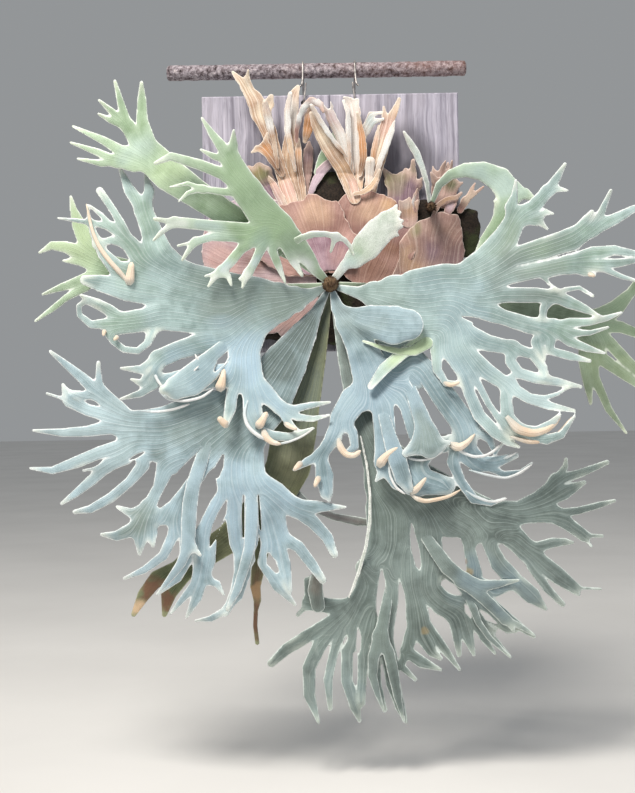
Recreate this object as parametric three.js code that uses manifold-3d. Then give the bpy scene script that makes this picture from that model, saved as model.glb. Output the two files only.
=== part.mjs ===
// A staghorn fern grown on a board of two weathered planks, which hangs from an iron bar by two wires.
// Millimetres, +X right, +Y back to the wall, +Z up. Everything is first placed about the middle of the
// board's front face and then moved so that the middle of the upper batten's back face is the origin.
import * as THREE from "three";
import Module from "manifold-3d";

const wasm = await Module();
wasm.setup();

// ---------------------------------------------------------------- driving dimensions
const GAP = 0.3; // between pieces that touch
const BOARD = { width: 300, height: 300, thick: 20, bevel: 1.5 };
const BATTEN = { length: 260, height: 34, thick: 18, rise: 92 }; // rise: above or below the board's middle
const SCREW = { head: 8, headDepth: 2.4, shank: 4, length: 30, across: [-110, -40, 40, 110] };
const BAR = { diameter: 18, left: -191, right: 161, height: 180.5 };
const WIRE = { diameter: 2.2, hole: 6, holeHeight: 141, across: [-31, 30] };
// The two buds. Foot, shoulder and tip are depths in front of the board.
const CROWN = { x: -3, z: -72, radius: 10, foot: 25.1, shoulder: 86, tip: 96 };
const BUD = { x: 116, z: 17, radius: 6, foot: 10.8, shoulder: 44, tip: 50 };
const BLADE = 1.8; // thickness of a living blade
const PAPERY = 1.4; // thickness of a dried shield lobe

// The outlines below are read from in front, through an eye at this place. A point at a depth in front of
// the board is drawn nearer to the eye's own axis, so that it still covers what it covers in that view.
const EYE = { x: -20.5, z: -203, distance: 1500 };

function place([x, z], depth) {
  const nearer = 1 - depth / EYE.distance;
  return [EYE.x + (x - EYE.x) * nearer, -depth, EYE.z + (z - EYE.z) * nearer];
}

// ---------------------------------------------------------------- fronds
// A frond is a list of nodes [x, z, width, lift] from its foot on, where lift brings the blade forward.
// Lists at its end are its branches, each a frond of its own that starts at the last node before it.
const FRONDS = {
  frond_upper_left_front: {
    depth: 76, rise: 95,
    tree: [[-9.5, -61.5, 7], [-22, -46, 10], [-36, -31, 16], [-52, -16, 28], [-68, -2, 36],
      [[-84, 18, 38], [-98, 38, 34],
        [[-108, 56, 30], [-116, 74, 24],
          [[-114, 92, 12], [-113, 110, 3]],
          [[-128, 92, 13], [-139, 107, 9], [-150, 125, 3]],
          [[-137, 80, 8], [-152, 88, 3]]],
        [[-128, 60, 14], [-152, 70, 13], [-187, 81, 10], [-206, 73, 4]],
        [[-124, 38, 9], [-150, 42, 8], [[-168, 38, 5], [-179, 28, 2]], [[-168, 49, 5], [-189, 45, 2]]]],
      [[-92, -8, 18], [-118, -4, 15], [-150, 0, 13], [-184, 4, 13], [[-207, 8, 5]], [[-200, -8, 6],
        [-209, -17, 3]]],
      [[-96, -16, 14], [-118, -15, 11], [-141, -14, 10], [-160, -19, 9], [[-181, -24, 3]],
        [[-170, -32, 6], [-176, -41, 3]]],
      [[-106, -28, 12], [-118, -42, 12], [-130, -54, 11], [[-149, -60, 3]], [[-139, -62, 7],
        [-146, -72, 3]],
        [[-122, -61, 7], [-119, -71, 3]]],
      [[-82, -26, 12], [-91, -44, 10], [-99, -57, 10], [[-103, -65, 7], [-106, -74, 3]],
        [[-109, -64, 3]]],
      [[-70, -32, 11], [-64, -48, 9], [-56, -69, 3]],
      [[-53, -30, 12], [-46, -44, 10], [-36, -61, 4]]],
  },
  frond_upper_left_back: {
    depth: 60, rise: 95,
    tree: [[-12, -62.5, 7], [-40, -40, 16], [-80, -14, 26], [-125, 14, 30], [-160, 38, 34],
      [-190, 60, 40],
      [-208, 78, 38],
      [[-216, 100, 22], [-220, 124, 14], [-220, 148, 11], [-220, 168, 4]],
      [[-226, 98, 20], [-237, 117, 16], [[-243, 138, 10], [-251, 170, 4]], [[-257, 136, 8],
        [-270, 148, 3]],
        [[-256, 124, 8], [-271, 132, 3]]],
      [[-230, 84, 18], [-246, 89, 13], [-266, 101, 10], [-301, 118, 3]],
      [[-230, 72, 18], [-250, 76, 14], [[-272, 87, 9], [-304, 99, 3]], [[-268, 74, 8], [-296, 80, 3]]]],
  },
  frond_left: {
    depth: 66, rise: 95,
    tree: [[-15.5, -79.5, 6], [-28, -84, 16], [-46, -89, 32], [-66, -92, 48], [-92, -96, 68],
      [[-122, -88, 64], [-150, -80, 62], [-178, -72, 60],
        [[-204, -38, 42], [-210, -10, 26, -8], [-220, 18, 22, -16], [[-236, 42, 14, -16],
          [-248, 70, 4, -16]],
          [[-213, 40, 13, -16], [-217, 62, 4, -16]]],
        [[-218, -46, 30], [-236, -22, 20], [[-247, 4, 10], [-259, 24, 9], [-271, 42, 9]],
          [[-256, -2, 10], [[-270, 14, 6], [-282, 24, 3]], [[-276, 4, 7], [-300, 8, 5], [-321, 11, 2]]],
          [[-258, -16, 9], [-276, -20, 9]]],
        [[-228, -58, 34], [-252, -50, 20], [-268, -32, 14], [-279, -8, 9], [-284, 10, 5], [-286, 26, 2]],
        [[-208, -72, 46], [-240, -74, 28], [-272, -66, 20], [-290, -62, 12]]],
      [[-132, -110, 44], [-168, -104, 44], [-196, -104, 38], [-222, -110, 28], [-246, -113, 26],
        [[-262, -98, 14], [-276, -90, 12], [-295, -80, 4]],
        [[-266, -114, 14], [-284, -114, 9], [-297, -103, 7], [-298, -92, 6], [-290, -87, 6],
          [-276, -91, 7]],
        [[-262, -126, 12], [-258, -134, 9], [-246, -144, 8], [-230, -146, 8], [-218, -137, 9],
          [-212, -122, 14]]],
      [[-118, -128, 34], [-150, -137, 26], [-182, -146, 22], [-206, -156, 22],
        [[-226, -168, 11], [-250, -166, 3]],
        [[-214, -172, 12], [-226, -184, 9], [-238, -179, 3]],
        [[-212, -186, 12], [-228, -196, 9], [-251, -202, 3]]],
      [[-106, -148, 38], [-104, -176, 40],
        [[-138, -176, 26], [-160, -180, 32], [-184, -184, 28], [-203, -180, 14], [-211, -168, 4]],
        [[-120, -196, 14], [-123, -216, 14], [-128, -232, 8]],
        [[-100, -204, 16], [-102, -224, 12], [-92, -240, 11], [-74, -248, 12], [-54, -250, 10],
          [-26, -240, 3]],
        [[-94, -204, 14], [-90, -226, 12], [-80, -224, 5]],
        [[-80, -200, 22], [-66, -214, 16],
          [[-48, -217, 9], [-28, -213, 8], [-6, -210, 3]],
          [[-44, -227, 9], [-26, -229, 7], [-7, -225, 3]],
          [[-56, -232, 9], [-45, -241, 3]]]]],
  },
  frond_left_back: {
    depth: 46, rise: 78,
    tree: [[-16, -75, 7], [-60, -80, 20], [-120, -84, 24], [-180, -72, 30], [-235, -56, 32],
      [-266, -48, 32],
      [[-284, -22, 24], [-296, 2, 17], [-302, 20, 9], [-305, 36, 3]],
      [[-290, -32, 20], [-312, -23, 14], [-328, -21, 10], [-343, -29, 3]],
      [[-294, -40, 12], [-315, -39, 3]],
      [[-286, -60, 16], [-302, -65, 12], [-318, -70, 9], [-340, -78, 3]],
      [[-290, -70, 12], [-312, -82, 8], [-330, -96, 7], [-349, -109, 3]]],
  },
  frond_lower_left: {
    depth: 54, rise: 95,
    tree: [[-10.5, -86, 6], [-20, -104, 14], [-36, -130, 32], [-58, -164, 52], [-84, -202, 70],
      [-112, -230, 76],
      [[-150, -232, 76], [-190, -246, 74], [-228, -243, 56],
        [[-256, -212, 20], [-274, -196, 20], [[-296, -176, 13], [-318, -157, 8], [-332, -145, 4]],
          [[-276, -176, 8], [-276, -159, 5]], [[-292, -197, 10], [-310, -197, 14]]],
        [[-262, -222, 16], [-290, -214, 14], [-310, -203, 16], [[-316, -190, 8], [-318, -184, 4]],
          [[-337, -194, 3]]],
        [[-262, -234, 18], [-290, -239, 13], [-320, -240, 10], [-354, -237, 3]],
        [[-252, -258, 18], [-276, -264, 15], [-304, -275, 14], [-332, -284, 9], [-358, -281, 3]],
        [[-246, -270, 18], [-268, -280, 14], [[-296, -285, 3]], [[-286, -296, 13], [-306, -312, 9],
          [-322, -323, 4]]],
        [[-226, -280, 16], [-242, -299, 12], [-264, -317, 12], [-288, -330, 10], [-307, -333, 5]]],
      [[-182, -268, 44], [-200, -284, 22], [-208, -306, 14], [-220, -330, 18],
        [[-240, -336, 12], [-257, -328, 4]], [[-238, -354, 18], [-258, -362, 12], [-276, -360, 4]],
        [[-230, -362, 20], [-232, -383, 5]], [[-218, -360, 16], [-216, -374, 5]]],
      [[-140, -258, 36], [-160, -282, 26], [-178, -312, 24], [-188, -336, 30],
        [[-212, -342, 20], [-222, -344, 20]],
        [[-192, -362, 14], [-204, -386, 12], [-226, -402, 9], [-250, -412, 4]],
        [[-176, -364, 18], [-178, -392, 15], [-188, -412, 11], [-212, -431, 4]],
        [[-168, -372, 12], [-160, -388, 5]]],
      [[-112, -264, 56], [-112, -298, 58],
        [[-138, -330, 24], [-154, -362, 26], [-156, -392, 26], [-160, -412, 22],
          [[-178, -432, 10], [-197, -454, 3]], [[-166, -436, 13], [-178, -458, 4]],
          [[-142, -420, 9], [-134, -433, 3]]],
        [[-112, -336, 38], [-110, -370, 34],
          [[-104, -392, 14]],
          [[-112, -408, 20], [-120, -434, 16], [[-132, -456, 5]], [[-134, -452, 9], [-150, -461, 8],
            [-168, -463, 3]]]],
        [[-82, -332, 40], [-74, -362, 34],
          [[-46, -378, 14], [-30, -400, 13], [-18, -418, 9]],
          [[-63, -398, 16], [-58, -428, 9]],
          [[-84, -396, 20], [-70, -424, 15], [-51, -446, 4]]],
        [[-74, -318, 34], [-50, -332, 22],
          [[-24, -332, 15], [10, -333, 3]],
          [[-28, -350, 16], [-12, -368, 14], [-4, -388, 9]]]]],
  },
  frond_lower_back: {
    depth: 42, rise: 80,
    tree: [[-6.5, -86.5, 7], [-12, -120, 14], [-22, -160, 24], [-34, -200, 36], [-48, -242, 52],
      [-56, -284, 52],
      [-76, -322, 46],
      [[-128, -368, 34], [-176, -398, 28],
        [[-212, -412, 18], [-228, -432, 15], [-240, -454, 6]],
        [[-198, -428, 20], [-204, -455, 6]]],
      [[-90, -380, 22], [-94, -424, 16], [-95, -462, 9], [-100, -490, 6]]],
  },
  frond_lower_right: {
    depth: 76, rise: 95,
    tree: [[0.5, -86.2, 6], [5, -100, 16], [18, -116, 30],
      [[44, -116, 38, 6], [70, -121, 46, 8], [86, -121, 38, 8]],
      [[30, -144, 34, -12], [42, -172, 46, -20], [50, -194, 54, -20],
        [[22, -208, 34, -18], [8, -228, 28, -16],
          [[-6, -256, 18, -15], [-18, -272, 14, -15], [[-34, -279, 10, -15], [-49, -288, 4, -15]],
            [[-14, -296, 22, -14], [-12, -316, 16, -12], [-9, -325, 4, -12]]],
          [[20, -246, 12, -18], [22, -262, 10, -18], [12, -271, 7, -18], [5, -262, 5, -18],
            [4, -253, 3, -18]]],
        [[56, -222, 26, -20], [58, -252, 26, -20], [58, -280, 26, -20],
          [[74, -302, 26, -20], [92, -308, 28, -20]], [[50, -298, 8, -20], [46, -303, 3, -20]]],
        [[74, -190, 28, -20], [88, -216, 26, -20], [100, -244, 34, -20], [106, -262, 30, -20],
          [[90, -284, 30, -20], [98, -304, 34, -20], [128, -310, 22, -20]], [[124, -262, 20, -20],
            [132, -254, 8, -20]]],
        [[92, -160, 26, -20], [112, -182, 28, -20], [132, -212, 30, -20], [152, -240, 30, -20],
          [[163, -253, 5, -20]],
          [[150, -268, 30, -20], [166, -284, 22, -20], [[186, -284, 14, -20], [210, -276, 8, -20]],
            [[196, -298, 8, -20], [216, -295, 5, -20], [229, -285, 3, -20]]],
          [[136, -282, 14, -20], [146, -306, 12, -20], [160, -326, 11, -20], [180, -332, 6, -20],
            [197, -326, 3, -20]],
          [[180, -256, 10, -20], [186, -272, 6, -20], [196, -260, 4, -20]]]]],
  },
  frond_bottom: {
    depth: 42, rise: 95,
    tree: [[1.5, -86.2, 6], [6, -120, 12], [14, -160, 20], [26, -210, 28], [48, -262, 44], [70, -304, 72],
      [[66, -340, 52], [66, -380, 46], [30, -404, 20]],
      [[58, -336, 50], [56, -372, 40],
        [[34, -404, 16], [36, -436, 34], [18, -452, 30],
          [[-12, -448, 18], [-34, -444, 18], [[-36, -418, 9], [-24, -412, 6]], [[-48, -458, 5]]],
          [[-14, -468, 13], [-40, -484, 14], [-62, -498, 14], [-80, -514, 10]],
          [[-26, -478, 10], [-50, -492, 10]],
          [[0, -466, 16], [-22, -492, 17], [-36, -520, 16], [-36, -552, 14], [-26, -584, 4]],
          [[6, -470, 14], [-6, -500, 11], [-14, -534, 11], [-12, -568, 6]]],
        [[28, -456, 32], [26, -478, 34], [[9, -502, 14], [8, -536, 14], [17, -566, 13], [22, -583, 5]],
          [[28, -506, 14], [26, -530, 11], [24, -562, 11]]],
        [[62, -412, 18], [58, -444, 24], [50, -478, 28], [[40, -510, 15], [42, -540, 13], [52, -571, 6]],
          [[58, -506, 18], [62, -540, 17], [70, -568, 12], [76, -585, 5]]]],
      [[92, -330, 60], [84, -366, 30], [82, -400, 30], [88, -434, 22], [92, -462, 26],
        [[78, -502, 14], [96, -516, 14], [118, -525, 4]],
        [[72, -520, 9], [88, -536, 5]],
        [[96, -482, 20], [108, -504, 12], [118, -512, 5]],
        [[104, -474, 12], [122, -500, 11], [140, -525, 4]]],
      [[110, -330, 64], [108, -366, 26], [110, -398, 30], [104, -430, 30], [122, -448, 26],
        [[136, -468, 16], [140, -508, 6]],
        [[142, -456, 20], [148, -478, 18], [157, -508, 5]],
        [[148, -448, 18], [162, -470, 20], [[182, -481, 5]], [[178, -486, 7], [200, -511, 3]],
          [[168, -488, 9], [182, -507, 4]]]],
      [[134, -338, 66], [156, -362, 30], [154, -384, 14], [160, -414, 18], [150, -424, 20],
        [[128, -410, 18], [116, -412, 16]],
        [[184, -432, 18], [198, -428, 14], [212, -424, 6]],
        [[160, -440, 26], [180, -464, 17], [198, -480, 9], [206, -482, 4]],
        [[188, -458, 14], [208, -474, 11], [228, -488, 5]]],
      [[170, -352, 52], [176, -376, 16], [188, -402, 20], [208, -424, 20], [226, -440, 20],
        [242, -456, 5]],
      [[168, -352, 48], [200, -366, 30], [222, -388, 24],
        [[250, -379, 12], [266, -378, 9], [275, -379, 4]],
        [[238, -402, 20], [258, -418, 20], [276, -432, 14], [[307, -434, 3]], [[281, -440, 4]]],
        [[226, -406, 11], [244, -432, 10], [262, -451, 7]]],
      [[178, -346, 36], [214, -342, 26], [244, -326, 24],
        [[256, -306, 16], [[268, -290, 7], [269, -281, 4]], [[286, -298, 10], [317, -286, 6]]],
        [[266, -320, 18], [290, -309, 5]]],
      [[180, -348, 30], [220, -346, 20], [252, -345, 20], [[282, -342, 9], [306, -336, 8],
        [325, -331, 4]],
        [[270, -357, 16], [288, -371, 14], [[310, -372, 4]], [[297, -384, 3]]]]],
  },
  frond_right: {
    depth: 68, rise: 95,
    tree: [[12.5, -80.5, 6], [28, -82, 14], [48, -85, 32], [74, -91, 58], [104, -97, 84], [132, -92, 84],
      [[160, -72, 50], [184, -48, 40], [204, -20, 30], [216, 2, 24],
        [[210, 14, 16], [214, 28, 8], [216, 46, 3]],
        [[236, 14, 18], [252, 32, 14], [[264, 48, 10], [274, 64, 4]], [[264, 35, 8], [276, 33, 3]]],
        [[238, 0, 14], [[250, 8, 8], [259, 6, 3]], [[244, -4, 8], [252, -12, 3]]]],
      [[178, -62, 30], [212, -44, 22], [248, -34, 26], [280, -24, 26],
        [[298, -2, 12], [304, 7, 6]],
        [[304, -12, 20], [[316, 8, 9], [327, 32, 4]], [[330, -2, 14], [353, 10, 9], [374, 17, 3]]]],
      [[176, -70, 30], [206, -66, 20], [240, -60, 18], [276, -54, 22],
        [[304, -41, 16], [330, -38, 12], [352, -42, 8], [374, -44, 3]],
        [[304, -54, 12], [336, -53, 10], [368, -48, 4]],
        [[318, -60, 8], [338, -69, 6], [358, -75, 3]],
        [[294, -63, 10], [306, -67, 4]],
        [[247, -68, 6], [253, -76, 4], [262, -82, 2]]],
      [[170, -86, 30], [204, -88, 18], [238, -89, 18], [258, -90, 14],
        [[272, -83, 6], [288, -81, 5], [304, -91, 4]],
        [[276, -98, 15], [294, -106, 10], [310, -114, 3]],
        [[246, -104, 10], [243, -124, 7]]],
      [[168, -102, 30], [198, -114, 18], [228, -124, 20], [256, -128, 22],
        [[276, -122, 12], [300, -121, 9], [320, -117, 7], [337, -111, 3]],
        [[280, -134, 10], [300, -134, 6], [321, -128, 3]],
        [[276, -144, 12], [296, -152, 9], [316, -158, 3]],
        [[238, -144, 16], [244, -162, 8]],
        [[252, -154, 10], [276, -161, 10], [299, -167, 4]]],
      [[148, -132, 30], [180, -144, 20], [208, -150, 16],
        [[232, -158, 12], [244, -174, 11], [246, -186, 10]],
        [[206, -166, 13], [216, -180, 13], [236, -186, 13], [262, -191, 10], [288, -197, 4]]],
      [[150, -154, 26], [178, -177, 20], [202, -194, 16],
        [[226, -210, 11], [252, -219, 10], [280, -225, 4]],
        [[206, -184, 7], [214, -198, 6], [228, -208, 7], [246, -209, 6], [260, -205, 5], [274, -197, 3]],
        [[200, -212, 15], [202, -232, 16], [216, -248, 16], [[236, -248, 12], [252, -240, 10],
          [262, -230, 5]],
          [[246, -258, 12], [264, -253, 9], [280, -231, 3]]]],
      [[136, -146, 30], [150, -176, 18], [157, -202, 14], [168, -228, 15], [186, -248, 14],
        [202, -260, 10], [214, -266, 4]],
      [[148, -160, 22], [166, -188, 9], [180, -216, 8], [196, -240, 8], [206, -254, 7]],
      [[120, -150, 16], [120, -174, 11], [130, -190, 8], [144, -191, 6]],
      [[108, -136, 16], [80, -154, 14], [58, -172, 14], [42, -192, 8]]],
  },
  frond_right_back: {
    depth: 42, rise: 72,
    tree: [[13, -73, 7], [60, -84, 24], [130, -92, 34], [200, -102, 34], [258, -116, 34], [298, -124, 36],
      [[330, -106, 20], [348, -88, 12], [360, -70, 8], [368, -55, 3]],
      [[336, -128, 14], [360, -138, 10], [384, -150, 3]],
      [[322, -146, 15], [350, -176, 13], [380, -202, 3]],
      [[312, -164, 16], [342, -186, 12], [372, -210, 3]],
      [[294, -166, 18], [296, -192, 12], [299, -217, 4]],
      [[304, -186, 12], [320, -224, 9], [340, -252, 3]]],
  },
};

// The frond that arches up from the second bud, and the two young ones.
const ARCHING = {
  depth: 34, rise: 60,
  tree: [[118.5, 26.6, 5], [126, 42, 9], [140, 54, 12], [158, 59, 17], [178, 57, 23], [197, 47, 30],
    [208, 32, 30],
    [[226, 30, 14], [240, 22, 4]],
    [[205, 14, 24], [192, -6, 16], [178, -24, 12], [168, -38, 4]],
    [[196, 12, 12], [191, 22, 3]]],
};
const YOUNG_THIN = {
  depth: 36, rise: 20,
  tree: [[112.6, 25, 4], [112, 44, 6], [107, 62, 7], [100, 80, 9], [93, 92, 8], [86, 105, 3]],
};
const YOUNG_BROAD = {
  depth: 76, rise: 30,
  tree: [[5, -60.6, 8], [14, -50, 12], [26, -42, 24], [40, -28, 34], [54, -12, 34], [64, 0, 26],
    [[72, 12, 10], [76, 19, 3]], [[74, 6, 9], [80, 11, 3]], [[76, -1, 8], [83, 1, 3]], [[72, -8, 10],
      [82, -6, 3]],
    [[70, -14, 9], [77, -16, 3]]],
};

// Dried shield lobes, which grow out from between the shields. Stand: how far one lies in front of the roots.
const LOBES = {
  dry_lobe_left: { stand: 5.65,
    tree: [[-50, 16, 18], [-52, 40, 26], [-60, 75, 26, 6], [-70, 105, 26, 10], [-79, 130, 24, 12],
      [[-88, 148, 15, 12], [-98, 163, 10, 12], [[-109, 177, 4, 10]], [[-95, 178, 4, 14]]],
        [[-72, 146, 14, 12]]] },
  dry_lobe_brown: { stand: 3.62,
    tree: [[-38, 20, 13], [-40, 42, 16], [-42, 80, 15, 6], [-41, 120, 13, 8], [-38, 158, 5, 12]] },
  dry_lobe_arched: { stand: 6.17,
    tree: [[29, 27, 9], [26, 44, 12], [16, 62, 18, 8], [2, 88, 20, 14], [-13, 116, 18, 16], [-25, 136, 13, 20],
      [-30, 118, 8, 26]] },
  dry_lobe_cream: { stand: 1.26,
    tree: [[27, 22, 13], [28, 48, 18], [26, 68, 30, 0], [22, 92, 34, 1], [14, 114, 26, 2],
      [[18, 130, 10, 3], [20, 144, 4, 4]], [[5, 133, 5, 4]], [[-2, 128, 10, 3], [-7, 143, 4, 4]]] },
  dry_lobe_right: { stand: 0.78,
    tree: [[45, 22, 12], [48, 50, 14, 4], [57, 70, 20, 8], [65, 94, 18, 11], [73, 117, 14, 14], [80, 139, 4, 18]] },
  shield_lobe_jagged: { stand: 1.07,
    tree: [[84, 24, 38], [84, 38, 36], [[70, 48, 16], [62, 61, 4]], [[86, 52, 14], [87, 60, 4]],
      [[96, 54, 9], [96, 71, 4]], [[102, 42, 10], [106, 50, 3]]] },
  shield_lobe_far_right: { stand: 3.54,
    tree: [[132, 28, 28], [136, 42, 24], [[122, 46, 10], [117, 56, 3]], [[137, 56, 10], [137, 67, 3]],
      [[147, 42, 9], [153, 44, 3]]] },
  dead_strip: { stand: 3.31,
    tree: [[150, 12, 8], [156, 22, 7], [[162, 32, 5], [168, 43, 3]], [[168, 31, 4], [178, 39, 3]]] },
};

// The root ball and the shields are domes: an outline round a middle point.
const ROOTS = {
  middle: [0, -50], half: [158, 108], height: 20, rim: 5,
  outline: [[150, 14], [172, 12], [174, -12], [169, -38], [150, -48], [149, -80], [132, -112],
    [96, -134], [50, -142],
    [0, -144], [-50, -141], [-100, -131], [-134, -108], [-149, -70], [-150, -30], [-147, 2], [-128, 22],
      [-90, 31],
    [-40, 34], [10, 33], [60, 32], [110, 24]],
};
const SHIELDS = {
  shield_left: { stand: 2.07, middle: [-85, -45],
    outline: [[-150, -60], [-152, -30], [-149, 0], [-135, 20], [-108, 30], [-80, 32], [-55, 26],
      [-30, 10], [-18, -20],
      [-17, -50], [-20, -72], [-16, -92], [-30, -112], [-58, -135], [-66, -127], [-95, -130],
        [-125, -115], [-145, -90]] },
  shield_right_back: { stand: 4.34, middle: [52, -20],
    outline: [[0, 16], [12, 30], [24, 36], [47, 38], [57, 33], [75, 25], [84, 8], [94, -10], [98, -35],
      [88, -60],
      [60, -75], [30, -78], [14, -64], [4, -54], [0, -20]] },
  shield_front: { stand: 7.5, middle: [-28, -18],
    outline: [[-60, 22], [-46, 25], [-32, 27], [-27, 33], [-18, 33], [-6, 26], [5, 24], [10, 20],
      [14, 8], [20, -4],
      [30, -15], [34, -30], [30, -46], [16, -57], [-3, -58], [-22, -62], [-50, -62], [-75, -50],
        [-92, -30], [-92, -5],
      [-80, 14]] },
  shield_right: { stand: 6.25, middle: [104, -62],
    outline: [[78, -24], [88, -10], [98, -3], [109, 1], [118, 8], [127, 11], [138, 7], [149, 8],
      [152, -10], [153, -30],
      [151, -60], [145, -90], [130, -115], [100, -132], [66, -134], [42, -122], [36, -100], [48, -80],
        [68, -66], [76, -45]] },
  shield_young: { stand: 9.31, middle: [-8, -34],
    outline: [[-41, -20], [-29, -11], [-16, -9], [2, -14], [17, -23], [29, -38], [26, -50], [12, -57],
      [-4, -57.5],
      [-18, -60], [-34, -60], [-44, -48], [-46, -34]] },
};

// ---------------------------------------------------------------- blades
// The branches of a tree as chains of nodes. A chain starts inside the node that it leaves, about as wide as
// its own first node.
function chainsOf(tree, from = null) {
  const nodes = tree.filter((item) => !Array.isArray(item[0]));
  const branches = tree.filter((item) => Array.isArray(item[0]));
  const start = from && [from[0], from[1], Math.min(from[2], nodes[0][2] * 1.25), from[3] ?? 0];
  const chain = from ? [start, ...nodes] : nodes;
  return [chain, ...branches.flatMap((branch) => chainsOf(branch, nodes.at(-1)))];
}

function nearestOnSegment(x, z, [ax, az, aw, al = 0], [bx, bz, bw, bl = 0]) {
  const dx = bx - ax, dz = bz - az;
  const t = THREE.MathUtils.clamp(((x - ax) * dx + (z - az) * dz) / (dx * dx + dz * dz), 0, 1);
  const away = Math.hypot(x - ax - t * dx, z - az - t * dz);
  return { away, edge: away - (aw + t * (bw - aw)) / 2, lift: al + t * (bl - al) };
}

const CROTCH = 5; // how far two branches' edges run into each other where they part

// Distance from the blade's edge, below zero inside, with the crotches rounded.
function edgeDistance(chains, x, z) {
  let all = Infinity;
  for (const chain of chains) {
    let own = Infinity;
    for (let i = 1; i < chain.length; i++)
      own = Math.min(own, nearestOnSegment(x, z, chain[i - 1], chain[i]).edge);
    const blend = Math.max(CROTCH - Math.abs(all - own), 0) / CROTCH;
    all = Number.isFinite(all) ? Math.min(all, own) - (blend * blend * CROTCH) / 4 : own;
  }
  return all;
}

const SPREAD = 4; // how far a branch's lift reaches past its edge

// Lift of the blade at a point, from the branches that it lies in or near.
function liftAt(chains, x, z) {
  let sum = 0, weights = 0;
  for (const chain of chains)
    for (let i = 1; i < chain.length; i++) {
      const { edge, lift } = nearestOnSegment(x, z, chain[i - 1], chain[i]);
      const weight = Math.exp(-edge / SPREAD);
      sum += weight * lift;
      weights += weight;
    }
  return sum / weights;
}

const CELL = 3; // grid on which a blade's edge is traced
const STRAY = 0.7; // how far the traced edge may be simplified
const SPECK = 12; // square millimetres: a gap smaller than this is filled

// Closed loops where the edge distance is zero, the blade on their left.
function traceEdge(chains) {
  const nodes = chains.flat();
  const low = [0, 1].map((i) => Math.min(...nodes.map((n) => n[i] - n[2])) - 2 * CELL);
  const high = [0, 1].map((i) => Math.max(...nodes.map((n) => n[i] + n[2])) + 2 * CELL);
  const size = [0, 1].map((i) => Math.ceil((high[i] - low[i]) / CELL));
  const values = [];
  for (let j = 0; j <= size[1]; j++)
    for (let i = 0; i <= size[0]; i++)
      values.push(edgeDistance(chains, low[0] + i * CELL, low[1] + j * CELL) || 1e-6);
  const at = (i, j) => values[j * (size[0] + 1) + i];
  const next = new Map(), points = new Map();
  // A crossing lies on the grid edge from corner (i, j) along x or along z.
  const crossing = (i, j, alongX) => {
    const key = `${i},${j},${alongX}`;
    if (!points.has(key)) {
      const a = at(i, j), b = alongX ? at(i + 1, j) : at(i, j + 1), t = a / (a - b);
      points.set(key, [low[0] + (i + (alongX ? t : 0)) * CELL, low[1] + (j + (alongX ? 0 : t)) * CELL]);
    }
    return key;
  };
  for (let j = 0; j < size[1]; j++)
    for (let i = 0; i < size[0]; i++) {
      const corners = [at(i, j), at(i + 1, j), at(i + 1, j + 1), at(i, j + 1)];
      const sides = [crossing.bind(null, i, j, true), crossing.bind(null, i + 1, j, false),
        crossing.bind(null, i, j + 1, true), crossing.bind(null, i, j, false)];
      const leaving = [0, 1, 2, 3].filter((s) => corners[s] < 0 && corners[(s + 1) % 4] > 0);
      const entering = [0, 1, 2, 3].filter((s) => corners[s] > 0 && corners[(s + 1) % 4] < 0);
      const joined = corners.reduce((a, b) => a + b, 0) < 0; // both inside corners of a saddle are one piece
      for (const s of leaving) {
        const turn = joined ? 1 : 3;
        const to = entering.length === 1 ? entering[0] : entering.find((e) => e === (s + turn) % 4);
        next.set(sides[s](), sides[to]());
      }
    }
  const loops = [];
  while (next.size) {
    const loop = [];
    let key = next.keys().next().value;
    while (next.has(key)) {
      loop.push(points.get(key));
      const following = next.get(key);
      next.delete(key);
      key = following;
    }
    loops.push(simplified(loop));
  }
  return loops.filter((loop) => Math.abs(THREE.ShapeUtils.area(loop.map(([x, z]) => ({ x, y: z })))) > SPECK);
}

// A closed loop with the points left out that stray less than STRAY from the line between their neighbours.
function simplified(loop) {
  const fromFirst = ([x, z]) => Math.hypot(x - loop[0][0], z - loop[0][1]);
  const far = loop.reduce((best, p, i) => (fromFirst(p) > fromFirst(loop[best]) ? i : best), 0);
  const half = (points) => {
    if (points.length < 3) return points.slice(0, -1);
    const [a, b] = [points[0], points.at(-1)];
    let worst = 0, at = 0;
    for (let i = 1; i < points.length - 1; i++) {
      const stray = nearestOnSegment(points[i][0], points[i][1], [...a, 0], [...b, 0]).away;
      if (stray > worst) [worst, at] = [stray, i];
    }
    return worst < STRAY ? [a] : [...half(points.slice(0, at + 1)), ...half(points.slice(at))];
  };
  return [...half(loop.slice(0, far + 1)), ...half([...loop.slice(far), loop[0]])];
}

// A closed solid from points seen from in front and a depth for each: the same triangles on both faces, and
// a rim round them.
function sheet(points, triangles, frontDepth, backDepth) {
  const front = points.map((p) => place(p, frontDepth(p[0], p[1])));
  const back = points.map((p) => place(p, backDepth(p[0], p[1])));
  const count = points.length, index = [], edges = new Set();
  for (const [a, b, c] of triangles) {
    index.push(a, b, c, c + count, b + count, a + count);
    for (const [m, n] of [[a, b], [b, c], [c, a]]) edges.add(m * count + n);
  }
  for (const edge of edges) {
    const a = Math.floor(edge / count), b = edge % count;
    if (!edges.has(b * count + a)) index.push(b, a, a + count, b, a + count, b + count);
  }
  return new THREE.BufferGeometry()
    .setAttribute("position", new THREE.Float32BufferAttribute([...front, ...back].flat(), 3))
    .setIndex(index);
}

// Twice the area of the triangle a, b, c, above zero where it turns left.
const turnsLeft = (a, b, c) => (b[0] - a[0]) * (c[1] - a[1]) - (b[1] - a[1]) * (c[0] - a[0]);

// The angle at c between a and b.
const angleAt = (c, a, b) =>
  Math.atan2(Math.abs(turnsLeft(c, a, b)), (a[0] - c[0]) * (b[0] - c[0]) + (a[1] - c[1]) * (b[1] - c[1]));

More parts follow.
